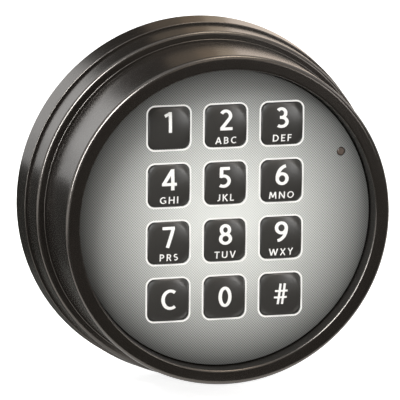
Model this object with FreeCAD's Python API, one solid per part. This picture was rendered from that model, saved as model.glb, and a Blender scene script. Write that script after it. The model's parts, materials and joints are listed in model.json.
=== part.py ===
"""Entry unit of an electronic safe lock: a keypad dial that turns in a door-mounted base ring.

The unit stands upright as on a safe door. +Y points into the door, the keypad looks towards -Y,
+Z is up. The origin is the centre of the base ring's back face, on the axis that the dial turns on.
Lengths are millimetres. A depth is a distance in front of the back face, so a depth d lies at y = -d.
Angles are counted as seen from the front, anticlockwise from +X.
"""
import FreeCAD, Part
import math
import os

from FreeCAD import Vector

# Keys and faceplate
KEY_PITCH = 16.0
KEY_GRID_RISE = 1.8
KEY_SIDE = 11.6
KEY_CORNER_R = 2.0
KEY_GAP = 0.15
KEY_PROUD = 0.9
KEY_CROWN_R = 55.0
KEY_TOP_ROUND = 0.35
KEY_FLANGE_RIM = 0.8
KEY_FLANGE_T = 0.8
KEY_FLANGE_GAP = 0.1
KEY_TRAVEL = 0.8
KEY_CORE_SIDE = 7.0
KEY_CORE_CORNER_R = 1.0
KEY_CORE_DEPTH = 1.4
PANEL_T = 1.2
PANEL_GAP = 0.2
PANEL_SEAT_W = 2.0
PANEL_ROUND = 0.15

# Batteries and their tray
BATTERY_W = 26.5
BATTERY_T = 17.5
BATTERY_L = 46.4
BATTERY_EDGE_R = 2.0
BATTERY_SPREAD = 5.4
BATTERY_DROP = 2.8
BATTERY_GAP = 0.15
TERMINAL_PITCH = 12.7
TERMINAL_R = 2.9
TERMINAL_H = 2.1
TRAY_FLOOR_T = 0.8
TRAY_WALL_T = 1.0
TRAY_WALL_H = 11.0
TRAY_TOP_ROOM = 6.0
TRAY_CORNER_R = 2.4
TRAY_MARGIN = 2.0
SNAP_SIDE_GAP = 1.25
SNAP_W = BATTERY_W - 2 * SNAP_SIDE_GAP
SNAP_T = 12.0
SNAP_H = 4.2
SNAP_OFFSET = 0.3
SNAP_POCKET_GAP = 0.3
SNAP_CORNER_R = 2.0
LEAD_R = 0.6

# Key mat, circuit board and what is soldered to it
DOME_TOP_R = 2.4
DOME_FOOT_R = 3.6
DOME_GAP = 0.1
MAT_T = 0.8
BOARD_T = 1.6
BOARD_EDGE_GAP = 0.4
BOARD_SCREW_R = 1.0
BOARD_SCREW_HEAD_R = 1.8
BOARD_SCREW_HEAD_T = 1.2
BOARD_SCREW_HEAD_ROUND = 0.5
BOARD_SCREW_BITE = 2.0
CHIP_SIDE = 10.0
CHIP_CORNER_R = 0.5
CHIP_T = 1.2
CHIP_RISE = 12.0
CHIP_BATTERY_GAP = 0.7
BUZZER_R = 5.0
BUZZER_T = 5.5
BUZZER_HOLE_R = 1.0
BUZZER_ANGLE = 341.0
BUZZER_EDGE_GAP = 0.8
CAPACITOR_R = 3.15
CAPACITOR_T = 7.7
CAPACITOR_ANGLE = 199.0
CAPACITOR_EDGE_GAP = 2.0
CAN_ROUND = 0.4
SOCKET_W = 4.6
SOCKET_L = 9.6
SOCKET_T = 5.0
SOCKET_WALL = 0.7
SOCKET_FLOOR = 1.2
LAMP_ANGLE = 27.5
LAMP_TIP_R = 1.15
LAMP_BODY_R = 1.5
LAMP_FOOT_R = 1.85
LAMP_FOOT_T = 0.7
LAMP_TIP_ROUND = 0.5
LAMP_GAP = 0.1
LAMP_EDGE_GAP = 0.25

# Dial housing and bezel
LEDGE_MARGIN = 0.99
LEDGE_W = 4.4
LEDGE_T = 2.8
DIAL_WALL = 2.7
DIAL_DRAFT = 0.45
DIAL_REAR_LAP = 0.8
RECESS_DEPTH = 4.8
RECESS_DRAFT = 0.3
BEZEL_ROUND = 1.0
BEZEL_SLOPE = 0.3
BEZEL_IN_ROUND = 0.45
RIM_ROUND = 0.3
BOSS_R = 3.2
BOSS_WALL_LAP = 0.5
BOSS_CLEAR = 0.4
BOSS_COUNT = 4
BOSS_HOLE_GAP = 0.4

# Back plate of the dial and its fasteners
BACK_T = 1.6
BACK_GAP = 0.3
ACCESS_HOLE_R = 4.5
SINK_SCREW_R = 1.25
SINK_SCREW_HEAD_R = 2.3
SINK_SCREW_HEAD_T = 1.1
SINK_CROSS_SPAN = 2.8
SINK_CROSS_W = 0.6
SINK_CROSS_DEPTH = 0.65
SCREW_GAP = 0.08
HOUSING_SCREW_LENGTH = 9.0
HUB_SCREW_LENGTH = 2.9
HUB_SCREW_COUNT = 3
HUB_SCREW_START = 30.0

# Drive hub with the spindle socket and the cable hole
SPINDLE_BORE_R = 4.0
KEYWAY_W = 2.4
KEYWAY_RISE = 1.1
CABLE_HOLE_R = 2.3
CABLE_HOLE_WEB = 1.3
HUB_WALL = 2.1
HUB_FLANGE_W = 4.2
HUB_FLANGE_T = 1.6
HUB_REAR = 0.2
HUB_RIM_ROUND = 0.4
HUB_END_ROUND = 0.2

# Bush, wave washer, retaining ring and stop pin
BUSH_RUN_GAP = 0.05
BUSH_WALL = 1.2
BUSH_FLANGE_T = 0.6
BUSH_FLANGE_W = 4.05
BUSH_ROUND = 0.2
BUSH_SEAT_GAP = 0.02
WASHER_SPACE = 0.6
WASHER_T = 0.3
WASHER_WAVES = 3
WASHER_POINTS_PER_WAVE = 4
WASHER_END_GAP = 0.03
WASHER_SIDE_GAP = 0.35
WASHER_WIDTH = 2.6
RING_T = 0.8
RING_GROOVE = 1.0
RING_WIDTH = 3.4
RING_GAP = 0.05
RING_SLIT_TOP = 90.0
RING_SLIT_ANGLE = 40.0
RING_EAR_R = 1.5
RING_EAR_STAND = 0.6
RING_EAR_HOLE_R = 0.6
RING_RECESS_DEPTH = 1.4
RING_RECESS_GAP = 0.8
RING_FLOOR_GAP = 0.1
STOP_PIN_R = 1.25
STOP_PIN_ANGLE = 225.0
STOP_PIN_BITE = 1.7
STOP_PIN_TIP_GAP = 0.4
STOP_PIN_ROUND = 0.3
STOP_SLOT_GAP = 0.25
STOP_SLOT_WEB = 1.1
TURN_RANGE = 90.0

# Base ring, fixed to the door
DIAL_GAP = 0.4
LIP_ROUND = 0.25
BAND_FACE_W = 2.3
BAND_DRAFT = 0.45
BAND_DEPTH = 17.2
BAND_ROUND = 0.8
FLANGE_STEP = 1.35
FLANGE_DRAFT = 0.6
FLANGE_DEPTH = 8.0
FLANGE_ROUND = 0.5
BASE_PLATE_T = 3.2
MOUNT_SPACING = 41.3
MOUNT_HOLE_R = 2.25
MOUNT_HEAD_R = 4.2
MOUNT_SINK_DEPTH = 1.95
RELIEF_DEPTH = 1.2
RELIEF_SEAT_W = 2.15
RELIEF_RIM_W = 1.4
RELIEF_RIB_W = 3.0
RELIEF_BARS = 8

# How far past a face a cutter reaches
OVERCUT = 1.0

# Hub, bush and base plate, worked outwards from the spindle
CABLE_HOLE_DROP = SPINDLE_BORE_R + CABLE_HOLE_WEB + CABLE_HOLE_R
HUB_R = CABLE_HOLE_DROP + CABLE_HOLE_R + HUB_WALL
HUB_FLANGE_R = HUB_R + HUB_FLANGE_W
HUB_SCREW_CIRCLE_R = HUB_R + HUB_FLANGE_W / 2
BUSH_BORE_R = HUB_R + BUSH_RUN_GAP
BUSH_OUT_R = BUSH_BORE_R + BUSH_WALL
BUSH_FLANGE_R = BUSH_BORE_R + BUSH_FLANGE_W
RING_IN_R = HUB_R - RING_GROOVE + RING_GAP
RING_OUT_R = RING_IN_R + RING_WIDTH - RING_GROOVE
RING_REAR = RING_RECESS_DEPTH - RING_FLOOR_GAP - RING_T
STOP_SLOT_HALF = STOP_PIN_R + STOP_SLOT_GAP
STOP_PIN_CIRCLE_R = HUB_FLANGE_R + STOP_SLOT_WEB + STOP_SLOT_HALF

# Depths, stacked from the back face to the bezel
HUB_FLANGE_REAR = BASE_PLATE_T + BUSH_FLANGE_T + WASHER_SPACE
BACK_REAR = HUB_FLANGE_REAR + HUB_FLANGE_T
BACK_FRONT = BACK_REAR + BACK_T
DIAL_REAR = BACK_REAR - DIAL_REAR_LAP
TRAY_FRONT = BACK_FRONT + TRAY_FLOOR_T
BATTERY_FRONT = TRAY_FRONT + BATTERY_T
BOARD_BACK = BATTERY_FRONT + CHIP_BATTERY_GAP + CHIP_T
MAT_BACK = BOARD_BACK + BOARD_T
LEDGE_BACK = MAT_BACK + MAT_T
PANEL_BACK = LEDGE_BACK + LEDGE_T
PANEL_DEPTH = PANEL_BACK + PANEL_T
DIAL_DEPTH = PANEL_DEPTH + RECESS_DEPTH
KEY_FLANGE_FRONT = PANEL_BACK - KEY_FLANGE_GAP
KEY_FLANGE_REAR = KEY_FLANGE_FRONT - KEY_FLANGE_T
DOME_FRONT = KEY_FLANGE_REAR - KEY_TRAVEL - DOME_GAP

# Tray outline, and how far the keys and the tray reach from the axis
WELL_W = BATTERY_W + 2 * BATTERY_GAP
WELL_H = BATTERY_L + TRAY_TOP_ROOM + BATTERY_GAP
TRAY_W = BATTERY_SPREAD + 2 * BATTERY_W + 2 * BATTERY_GAP + 2 * TRAY_WALL_T
TRAY_H = WELL_H + 2 * TRAY_WALL_T
BATTERY_FOOT_Z = -BATTERY_L / 2 - BATTERY_DROP
TRAY_Z = BATTERY_FOOT_Z - BATTERY_GAP + WELL_H / 2
TRAY_REACH = math.hypot(TRAY_W / 2, TRAY_H / 2 + abs(TRAY_Z))
KEY_FLANGE_HALF = KEY_SIDE / 2 + KEY_FLANGE_RIM
KEY_FLANGE_CORNER_R = KEY_CORNER_R + KEY_FLANGE_RIM
KEY_STRAIGHT = KEY_FLANGE_HALF - KEY_FLANGE_CORNER_R
KEYS_REACH = KEY_FLANGE_CORNER_R + math.hypot(
    KEY_PITCH + KEY_STRAIGHT,
    KEY_GRID_RISE + 1.5 * KEY_PITCH + KEY_STRAIGHT,
)

# Radii, worked outwards from what the dial holds
LEDGE_IN_R = max(KEYS_REACH + LEDGE_MARGIN, TRAY_REACH + TRAY_MARGIN - LEDGE_W)
HOUSING_BORE_R = LEDGE_IN_R + LEDGE_W
DIAL_R = HOUSING_BORE_R + DIAL_WALL
PANEL_R = LEDGE_IN_R + PANEL_SEAT_W
BEZEL_IN_R = PANEL_R + PANEL_GAP + RECESS_DRAFT
BOARD_R = HOUSING_BORE_R - BOARD_EDGE_GAP
BOARD_SCREW_CIRCLE_R = BOARD_R - BOARD_SCREW_HEAD_R
BACK_R = HOUSING_BORE_R - BACK_GAP
BOSS_CIRCLE_R = HOUSING_BORE_R - BOSS_R + BOSS_WALL_LAP
LAMP_CIRCLE_R = LEDGE_IN_R - LAMP_FOOT_R - LAMP_EDGE_GAP
BUZZER_CIRCLE_R = HOUSING_BORE_R - BUZZER_R - BUZZER_EDGE_GAP
CAPACITOR_CIRCLE_R = HOUSING_BORE_R - CAPACITOR_R - CAPACITOR_EDGE_GAP
LIP_R = DIAL_R + DIAL_GAP
BAND_R = LIP_R + BAND_FACE_W + BAND_DRAFT
FLANGE_R = BAND_R + FLANGE_STEP
RELIEF_IN_R = MOUNT_SPACING / 2 + MOUNT_HEAD_R + RELIEF_SEAT_W
RELIEF_OUT_R = LIP_R - RELIEF_RIM_W

KEY_NAMES = [
    ["key_1", "key_2", "key_3"],
    ["key_4", "key_5", "key_6"],
    ["key_7", "key_8", "key_9"],
    ["key_clear", "key_0", "key_enter"],
]
AXIS = Vector(0, 1, 0)
FORWARD = Vector(0, -1, 0)


def polar(radius, angle, depth=0.0):
    """Point at a radius and angle about the dial's axis, at a depth."""
    turn = math.radians(angle)
    return Vector(radius * math.cos(turn), -depth, radius * math.sin(turn))


def rounded_wire(corners, place):
    """Closed wire through corners (a, b, round), each corner cut by an arc of its own radius."""
    starts = []
    ends = []
    edges = []
    count = len(corners)
    for index, (a, b, radius) in enumerate(corners):
        corner = Vector(a, b, 0)
        before = Vector(*corners[index - 1][:2], 0) - corner
        after = Vector(*corners[(index + 1) % count][:2], 0) - corner
        before.normalize()
        after.normalize()
        half = before.getAngle(after) / 2
        run = radius / math.tan(half)
        middle = before + after
        if radius > 0:
            middle.normalize()
            crest = corner + middle * (radius / math.sin(half) - radius)
            first = corner + before * run
            last = corner + after * run
            edges.append((index, Part.Arc(place(first), place(crest), place(last)).toShape()))
            starts.append(first)
            ends.append(last)
        else:
            starts.append(corner)
            ends.append(corner)
    for index in range(count):
        first = ends[index]
        last = starts[(index + 1) % count]
        if (last - first).Length > 1e-6:
            edges.append((index + 0.5, Part.LineSegment(place(first), place(last)).toShape()))
    ordered = [edge for _, edge in sorted(edges, key=lambda item: item[0])]
    return Part.Wire(ordered)


def turned(corners, centre=Vector(0, 0, 0)):
    """Solid turned about an axis along Y, from corners (radius, depth, round)."""
    wire = rounded_wire(corners, lambda p: centre + Vector(p.x, -p.y, 0))
    return Part.Face(wire).revolve(centre, AXIS, 360)


def pin(radius, rear, front, centre=Vector(0, 0, 0)):
    """Plain round solid along Y between two depths."""
    foot = Vector(centre.x, -rear, centre.z)
    return Part.makeCylinder(radius, front - rear, foot, FORWARD)


def cone(rear_r, front_r, rear, front, centre=Vector(0, 0, 0)):
    """Tapered round solid along Y between two depths."""
    foot = Vector(centre.x, -rear, centre.z)
    return Part.makeCone(rear_r, front_r, front - rear, foot, FORWARD)


def block(width, height, rear, front, x=0.0, z=0.0, corner=0.0):
    """Upright prism between two depths, centred on x and z, with rounded corners."""
    outline = [
        (x - width / 2, z - height / 2, corner),
        (x + width / 2, z - height / 2, corner),
        (x + width / 2, z + height / 2, corner),
        (x - width / 2, z + height / 2, corner),
    ]
    wire = rounded_wire(outline, lambda p: Vector(p.x, -rear, p.y))
    return Part.Face(wire).extrude(FORWARD * (front - rear))


def spread(count, start):
    """Angles of evenly spread fasteners."""
    return [start + 360.0 * index / count for index in range(count)]


def boss_places(depth=0.0):
    """Centres of the housing's screw bosses."""
    return [polar(BOSS_CIRCLE_R, angle, depth) for angle in spread(BOSS_COUNT, 0.0)]


def board_screw_places():
    """Centres of the board's screws, midway between the bosses."""
    start = 180.0 / BOSS_COUNT
    return [polar(BOARD_SCREW_CIRCLE_R, angle) for angle in spread(BOSS_COUNT, start)]


def hub_screw_places(depth):
    """Centres of the drive hub's screws."""
    return [polar(HUB_SCREW_CIRCLE_R, angle, depth) for angle in spread(HUB_SCREW_COUNT, HUB_SCREW_START)]


def mount_places():
    """Centres of the two holes for the door's screws."""
    return [Vector(-MOUNT_SPACING / 2, 0, 0), Vector(MOUNT_SPACING / 2, 0, 0)]


def lamp_place():
    """Centre of the status lamp."""
    return polar(LAMP_CIRCLE_R, LAMP_ANGLE)


def cable_place():
    """Centre of the cable hole, under the spindle."""
    return Vector(0, 0, -CABLE_HOLE_DROP)


def sink_screw(point, tip_way, length):
    """Countersunk screw whose head is flush at point and whose tip lies along tip_way."""
    profile = [
        (0, 0, 0),
        (SINK_SCREW_HEAD_R, 0, 0),
        (SINK_SCREW_R, SINK_SCREW_HEAD_T, 0),
        (SINK_SCREW_R, length, 0),
        (0, length, 0),
    ]
    screw = turned(profile)
    slot = block(SINK_CROSS_SPAN, SINK_CROSS_W, -OVERCUT, SINK_CROSS_DEPTH)
    crossed = slot.rotated(Vector(0, 0, 0), AXIS, 90)
    screw = screw.cut(slot.fuse(crossed))
    if tip_way.y > 0:
        screw.rotate(Vector(0, 0, 0), Vector(0, 0, 1), 180)
    screw.translate(point)
    return screw


def sink_hole(point, tip_way, length):
    """Cutter for a countersunk screw, a little wider all round."""
    profile = [
        (0, -SCREW_GAP, 0),
        (SINK_SCREW_HEAD_R + 2 * SCREW_GAP, -SCREW_GAP, 0),
        (SINK_SCREW_R + SCREW_GAP, SINK_SCREW_HEAD_T, 0),
        (SINK_SCREW_R + SCREW_GAP, length + SCREW_GAP, 0),
        (0, length + SCREW_GAP, 0),
    ]
    cutter = turned(profile)
    if tip_way.y > 0:
        cutter.rotate(Vector(0, 0, 0), Vector(0, 0, 1), 180)
    cutter.translate(point)
    return cutter


def key_places():
    """Name and centre of each key, row by row from the top left."""
    places = []
    for row, names in enumerate(KEY_NAMES):
        for column, name in enumerate(names):
            x = (column - 1) * KEY_PITCH
            z = KEY_GRID_RISE + (1.5 - row) * KEY_PITCH
            places.append((name, Vector(x, 0, z)))
    return places


def base_ring():
    """Cast ring and back plate in one piece, with two countersunk holes and a ribbed back."""
    bore_r = BUSH_OUT_R + BUSH_SEAT_GAP
    body = turned([
        (bore_r, 0, 0),
        (FLANGE_R, 0, RIM_ROUND),
        (FLANGE_R - FLANGE_DRAFT, FLANGE_DEPTH, FLANGE_ROUND),
        (BAND_R, FLANGE_DEPTH, 0),
        (BAND_R - BAND_DRAFT, BAND_DEPTH, BAND_ROUND),
        (LIP_R, BAND_DEPTH, LIP_ROUND),
        (LIP_R, BASE_PLATE_T, BAND_ROUND),
        (bore_r, BASE_PLATE_T, 0),
    ])
    body = body.cut(pin(RING_OUT_R + RING_RECESS_GAP, -OVERCUT, RING_RECESS_DEPTH))
    relief = pin(RELIEF_OUT_R, -OVERCUT, RELIEF_DEPTH).cut(pin(RELIEF_IN_R, -OVERCUT, RELIEF_DEPTH))
    bar = block(2 * (RELIEF_OUT_R + OVERCUT), RELIEF_RIB_W, -OVERCUT, RELIEF_DEPTH)
    for index in range(RELIEF_BARS):
        relief = relief.cut(bar.rotated(Vector(0, 0, 0), AXIS, 180.0 * (index + 0.5) / RELIEF_BARS))
    body = body.cut(relief)
    for centre in mount_places():
        body = body.cut(pin(MOUNT_HOLE_R, -OVERCUT, BASE_PLATE_T + OVERCUT, centre))
        sink_rear = BASE_PLATE_T - MOUNT_SINK_DEPTH
        body = body.cut(cone(MOUNT_HOLE_R, MOUNT_HEAD_R, sink_rear, BASE_PLATE_T, centre))
    root = polar(STOP_PIN_CIRCLE_R, STOP_PIN_ANGLE)
    return body.cut(pin(STOP_PIN_R, BASE_PLATE_T - STOP_PIN_BITE, BASE_PLATE_T + OVERCUT, root))


def hub_bush():
    """Flanged bush that the hub turns in."""
    front = BASE_PLATE_T + BUSH_FLANGE_T
    return turned([
        (BUSH_BORE_R, RING_RECESS_DEPTH, 0),
        (BUSH_OUT_R, RING_RECESS_DEPTH, 0),
        (BUSH_OUT_R, BASE_PLATE_T, 0),
        (BUSH_FLANGE_R, BASE_PLATE_T, 0),
        (BUSH_FLANGE_R, front, BUSH_ROUND),
        (BUSH_BORE_R, front, BUSH_ROUND),
    ])


def wave_washer():
    """Spring washer with three waves, which keeps the dial from rattling and from turning by itself."""
    inner = HUB_R + WASHER_SIDE_GAP
    seat = BASE_PLATE_T + BUSH_FLANGE_T + WASHER_END_GAP
    rise = WASHER_SPACE - WASHER_T - 2 * WASHER_END_GAP
    steps = WASHER_WAVES * WASHER_POINTS_PER_WAVE
    rails = []
    for radius in (inner, inner + WASHER_WIDTH):
        points = []
        for index in range(steps):
            angle = 360.0 * index / steps
            wave = (1 - math.cos(math.radians(angle * WASHER_WAVES))) / 2
            points.append(polar(radius, angle, seat + rise * wave))
        rail = Part.BSplineCurve()
        rail.interpolate(Points=points, PeriodicFlag=True)
        rails.append(rail.toShape())
    sheet = Part.makeRuledSurface(rails[0], rails[1])
    return sheet.extrude(FORWARD * WASHER_T)


def stop_pin():
    """Pin in the base that runs in the dial's arc slot and stops the turn at both ends."""
    rear = BASE_PLATE_T - STOP_PIN_BITE
    front = BACK_FRONT - STOP_PIN_TIP_GAP
    return turned([
        (0, rear, 0),
        (STOP_PIN_R, rear, 0),
        (STOP_PIN_R, front, STOP_PIN_ROUND),
        (0, front, 0),
    ], polar(STOP_PIN_CIRCLE_R, STOP_PIN_ANGLE))


def dial_housing():
    """Turned shell with bezel, faceplate recess and ledge, and screw bosses down its inside."""
    shell = turned([
        (HOUSING_BORE_R, DIAL_REAR, 0),
        (DIAL_R, DIAL_REAR, RIM_ROUND),
        (DIAL_R - DIAL_DRAFT, DIAL_DEPTH - BEZEL_SLOPE, BEZEL_ROUND),
        (BEZEL_IN_R, DIAL_DEPTH, BEZEL_IN_ROUND),
        (PANEL_R + PANEL_GAP, PANEL_BACK, 0),
        (LEDGE_IN_R, PANEL_BACK, 0),
        (LEDGE_IN_R, LEDGE_BACK, 0),
        (HOUSING_BORE_R, LEDGE_BACK, 0),
    ])
    reach = pin(DIAL_R - DIAL_WALL / 2, BACK_FRONT, LEDGE_BACK + LEDGE_T / 2)
    for centre in boss_places():
        boss = pin(BOSS_R, BACK_FRONT, LEDGE_BACK + LEDGE_T / 2, centre)
        shell = shell.fuse(boss.common(reach))
        tapped_front = BACK_REAR + HOUSING_SCREW_LENGTH + BOSS_HOLE_GAP
        shell = shell.cut(pin(SINK_SCREW_R + SCREW_GAP, BACK_FRONT - OVERCUT, tapped_front, centre))
    for centre in board_screw_places():
        shell = shell.cut(pin(BOARD_SCREW_R + SCREW_GAP, MAT_BACK, LEDGE_BACK + BOARD_SCREW_BITE, centre))
    return shell.removeSplitter()


def faceplate():
    """Round panel with twelve key windows and the lamp hole."""
    plate = turned([
        (0, PANEL_BACK, 0),
        (PANEL_R, PANEL_BACK, 0),
        (PANEL_R, PANEL_DEPTH, PANEL_ROUND),
        (0, PANEL_DEPTH, 0),
    ])
    side = KEY_SIDE + 2 * KEY_GAP
    window = block(side, side, PANEL_BACK - OVERCUT, PANEL_DEPTH + OVERCUT, corner=KEY_CORNER_R + KEY_GAP)
    for _, place in key_places():
        plate = plate.cut(window.translated(place))
    lamp_hole = pin(LAMP_TIP_R + LAMP_GAP, PANEL_BACK - OVERCUT, PANEL_DEPTH + OVERCUT, lamp_place())
    return plate.cut(lamp_hole)


def key_cap():
    """Pillow-topped cap with a flange behind the faceplate and a hollow underside round a post."""
    top = PANEL_DEPTH + KEY_PROUD
    cap = block(KEY_SIDE, KEY_SIDE, KEY_FLANGE_REAR, top + OVERCUT, corner=KEY_CORNER_R)
    cap = cap.common(Part.makeSphere(KEY_CROWN_R, Vector(0, KEY_CROWN_R - top, 0)))
    rim = [edge for edge in cap.Edges if edge.BoundBox.YMax < -PANEL_DEPTH]
    cap = cap.makeFillet(KEY_TOP_ROUND, rim)
    flange_side = 2 * KEY_FLANGE_HALF
    flange = block(flange_side, flange_side, KEY_FLANGE_REAR, KEY_FLANGE_FRONT, corner=KEY_FLANGE_CORNER_R)
    cap = cap.fuse(flange).removeSplitter()
    core_front = KEY_FLANGE_REAR + KEY_CORE_DEPTH
    core = block(KEY_CORE_SIDE, KEY_CORE_SIDE, KEY_FLANGE_REAR, core_front, corner=KEY_CORE_CORNER_R)
    return cap.cut(core.cut(pin(DOME_TOP_R, KEY_FLANGE_REAR, core_front)))


def edge_notched(rear, front):
    """Disc with room at its edge for the housing's bosses, and holes for the board screws."""
    disc = pin(BOARD_R, rear, front)
    for centre in boss_places():
        disc = disc.cut(pin(BOSS_R + BOSS_CLEAR, rear - OVERCUT, front + OVERCUT, centre))
    for centre in board_screw_places():
        disc = disc.cut(pin(BOARD_SCREW_R + SCREW_GAP, rear - OVERCUT, front + OVERCUT, centre))
    return disc


def key_mat():
    """Soft contact mat with a dome under each key, as high as a dome that is pressed flat."""
    mat = edge_notched(MAT_BACK, LEDGE_BACK)
    lamp_hole_r = LAMP_FOOT_R + LAMP_EDGE_GAP
    mat = mat.cut(pin(lamp_hole_r, MAT_BACK - OVERCUT, LEDGE_BACK + OVERCUT, lamp_place()))
    for _, place in key_places():
        mat = mat.fuse(cone(DOME_FOOT_R, DOME_TOP_R, LEDGE_BACK, DOME_FRONT, place))
    return mat


def circuit_board():
    """Round board clamped with the mat against the housing's ledge."""
    return edge_notched(BOARD_BACK, MAT_BACK)


def board_screws():
    """Pan-head screws that clamp board and mat to the ledge."""
    rear = BOARD_BACK - BOARD_SCREW_HEAD_T
    tip = LEDGE_BACK + BOARD_SCREW_BITE - SCREW_GAP
    screw = turned([
        (0, rear, 0),
        (BOARD_SCREW_HEAD_R, rear, BOARD_SCREW_HEAD_ROUND),
        (BOARD_SCREW_HEAD_R, BOARD_BACK, 0),
        (BOARD_SCREW_R, BOARD_BACK, 0),
        (BOARD_SCREW_R, tip, 0),
        (0, tip, 0),
    ])
    return Part.makeCompound([screw.translated(centre) for centre in board_screw_places()])


def status_lamp():
    """Light-emitting diode on the board, its tip flush in the faceplate."""
    foot_front = MAT_BACK + LAMP_FOOT_T
    body_front = PANEL_BACK - LAMP_GAP
    return turned([
        (0, MAT_BACK, 0),
        (LAMP_FOOT_R, MAT_BACK, 0),
        (LAMP_FOOT_R, foot_front, 0),
        (LAMP_BODY_R, foot_front, 0),
        (LAMP_BODY_R, body_front, 0),
        (LAMP_TIP_R, body_front, 0),
        (LAMP_TIP_R, PANEL_DEPTH, LAMP_TIP_ROUND),
        (0, PANEL_DEPTH, 0),
    ], lamp_place())


def controller_chip():
    """Flat controller package on the back of the board."""
    return block(CHIP_SIDE, CHIP_SIDE, BOARD_BACK - CHIP_T, BOARD_BACK, 0, CHIP_RISE, CHIP_CORNER_R)


def can(radius, height, centre):
    """Upright can on the back of the board."""
    rear = BOARD_BACK - height
    return turned([
        (0, rear, 0),
        (radius, rear, CAN_ROUND),
        (radius, BOARD_BACK, 0),
        (0, BOARD_BACK, 0),
    ], centre)


def buzzer():
    """Round sounder can with its sound hole."""
    centre = polar(BUZZER_CIRCLE_R, BUZZER_ANGLE)
    hole = pin(BUZZER_HOLE_R, BOARD_BACK - BUZZER_T - OVERCUT, BOARD_BACK - BUZZER_T / 2, centre)
    return can(BUZZER_R, BUZZER_T, centre).cut(hole)


def capacitor():
    """Can capacitor that steadies the supply."""
    return can(CAPACITOR_R, CAPACITOR_T, polar(CAPACITOR_CIRCLE_R, CAPACITOR_ANGLE))


def cable_socket():
    """Socket for the lock cable, in the gap between the batteries and open towards the back."""
    z = cable_place().z
    rear = BOARD_BACK - SOCKET_T
    shell = block(SOCKET_W, SOCKET_L, rear, BOARD_BACK, 0, z)
    mouth_w = SOCKET_W - 2 * SOCKET_WALL
    mouth_l = SOCKET_L - 2 * SOCKET_WALL
    return shell.cut(block(mouth_w, mouth_l, rear - OVERCUT, BOARD_BACK - SOCKET_FLOOR, 0, z))


def stop_slot():
    """Cutter for the arc slot that the stop pin runs in, one turn range long."""
    rear = BACK_REAR - OVERCUT
    front = BACK_FRONT + OVERCUT
    band = pin(STOP_PIN_CIRCLE_R + STOP_SLOT_HALF, rear, front)
    band = band.cut(pin(STOP_PIN_CIRCLE_R - STOP_SLOT_HALF, rear, front))
    reach = 2 * STOP_PIN_CIRCLE_R
    corners = [Vector(0, -rear, 0)]
    for share in (0, 0.5, 1):
        corners.append(polar(reach, STOP_PIN_ANGLE + TURN_RANGE * share, rear))
    wedge = Part.Face(Part.makePolygon(corners + [corners[0]])).extrude(FORWARD * (front - rear))
    slot = band.common(wedge)
    for angle in (STOP_PIN_ANGLE, STOP_PIN_ANGLE + TURN_RANGE):
        slot = slot.fuse(pin(STOP_SLOT_HALF, rear, front, polar(STOP_PIN_CIRCLE_R, angle)))
    return slot


def dial_back():
    """Plate that closes the housing, with stop slot, access holes and the hub's seat."""
    rear = BACK_REAR - OVERCUT
    front = BACK_FRONT + OVERCUT
    plate = pin(BACK_R, BACK_REAR, BACK_FRONT)
    for place in boss_places(BACK_REAR):
        plate = plate.cut(sink_hole(place, FORWARD, HOUSING_SCREW_LENGTH))
    for place in hub_screw_places(BACK_FRONT):
        plate = plate.cut(sink_hole(place, AXIS, HUB_SCREW_LENGTH))
    for centre in mount_places():
        plate = plate.cut(pin(ACCESS_HOLE_R, rear, front, centre))
    plate = plate.cut(pin(CABLE_HOLE_R, rear, front, cable_place()))
    return plate.cut(stop_slot())


def housing_screws():
    """Screws that hold the back plate to the housing's bosses."""
    places = boss_places(BACK_REAR)
    return Part.makeCompound([sink_screw(place, FORWARD, HOUSING_SCREW_LENGTH) for place in places])


def hub_screws():
    """Screws that hold the drive hub to the back plate."""
    places = hub_screw_places(BACK_FRONT)
    return Part.makeCompound([sink_screw(place, AXIS, HUB_SCREW_LENGTH) for place in places])


def drive_hub():
    """Hub with a keyed spindle socket, a cable hole and a groove for the retaining ring."""
    groove_rear = RING_REAR - RING_GAP
    groove_front = RING_REAR + RING_T + RING_GAP
    hub = turned([
        (SPINDLE_BORE_R, HUB_REAR, 0),
        (HUB_R, HUB_REAR, HUB_END_ROUND),
        (HUB_R, groove_rear, 0),
        (HUB_R - RING_GROOVE, groove_rear, 0),
        (HUB_R - RING_GROOVE, groove_front, 0),
        (HUB_R, groove_front, 0),
        (HUB_R, HUB_FLANGE_REAR, 0),
        (HUB_FLANGE_R, HUB_FLANGE_REAR, HUB_RIM_ROUND),
        (HUB_FLANGE_R, BACK_REAR, 0),
        (SPINDLE_BORE_R, BACK_REAR, 0),
    ])
    rear = HUB_REAR - OVERCUT
    front = BACK_REAR + OVERCUT
    keyway_top = SPINDLE_BORE_R + KEYWAY_RISE
    hub = hub.cut(block(KEYWAY_W, keyway_top, rear, front, 0, keyway_top / 2))
    hub = hub.cut(pin(CABLE_HOLE_R, rear, front, cable_place()))
    for place in hub_screw_places(BACK_FRONT):
        hub = hub.cut(sink_hole(place, AXIS, HUB_SCREW_LENGTH))
    return hub


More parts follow.
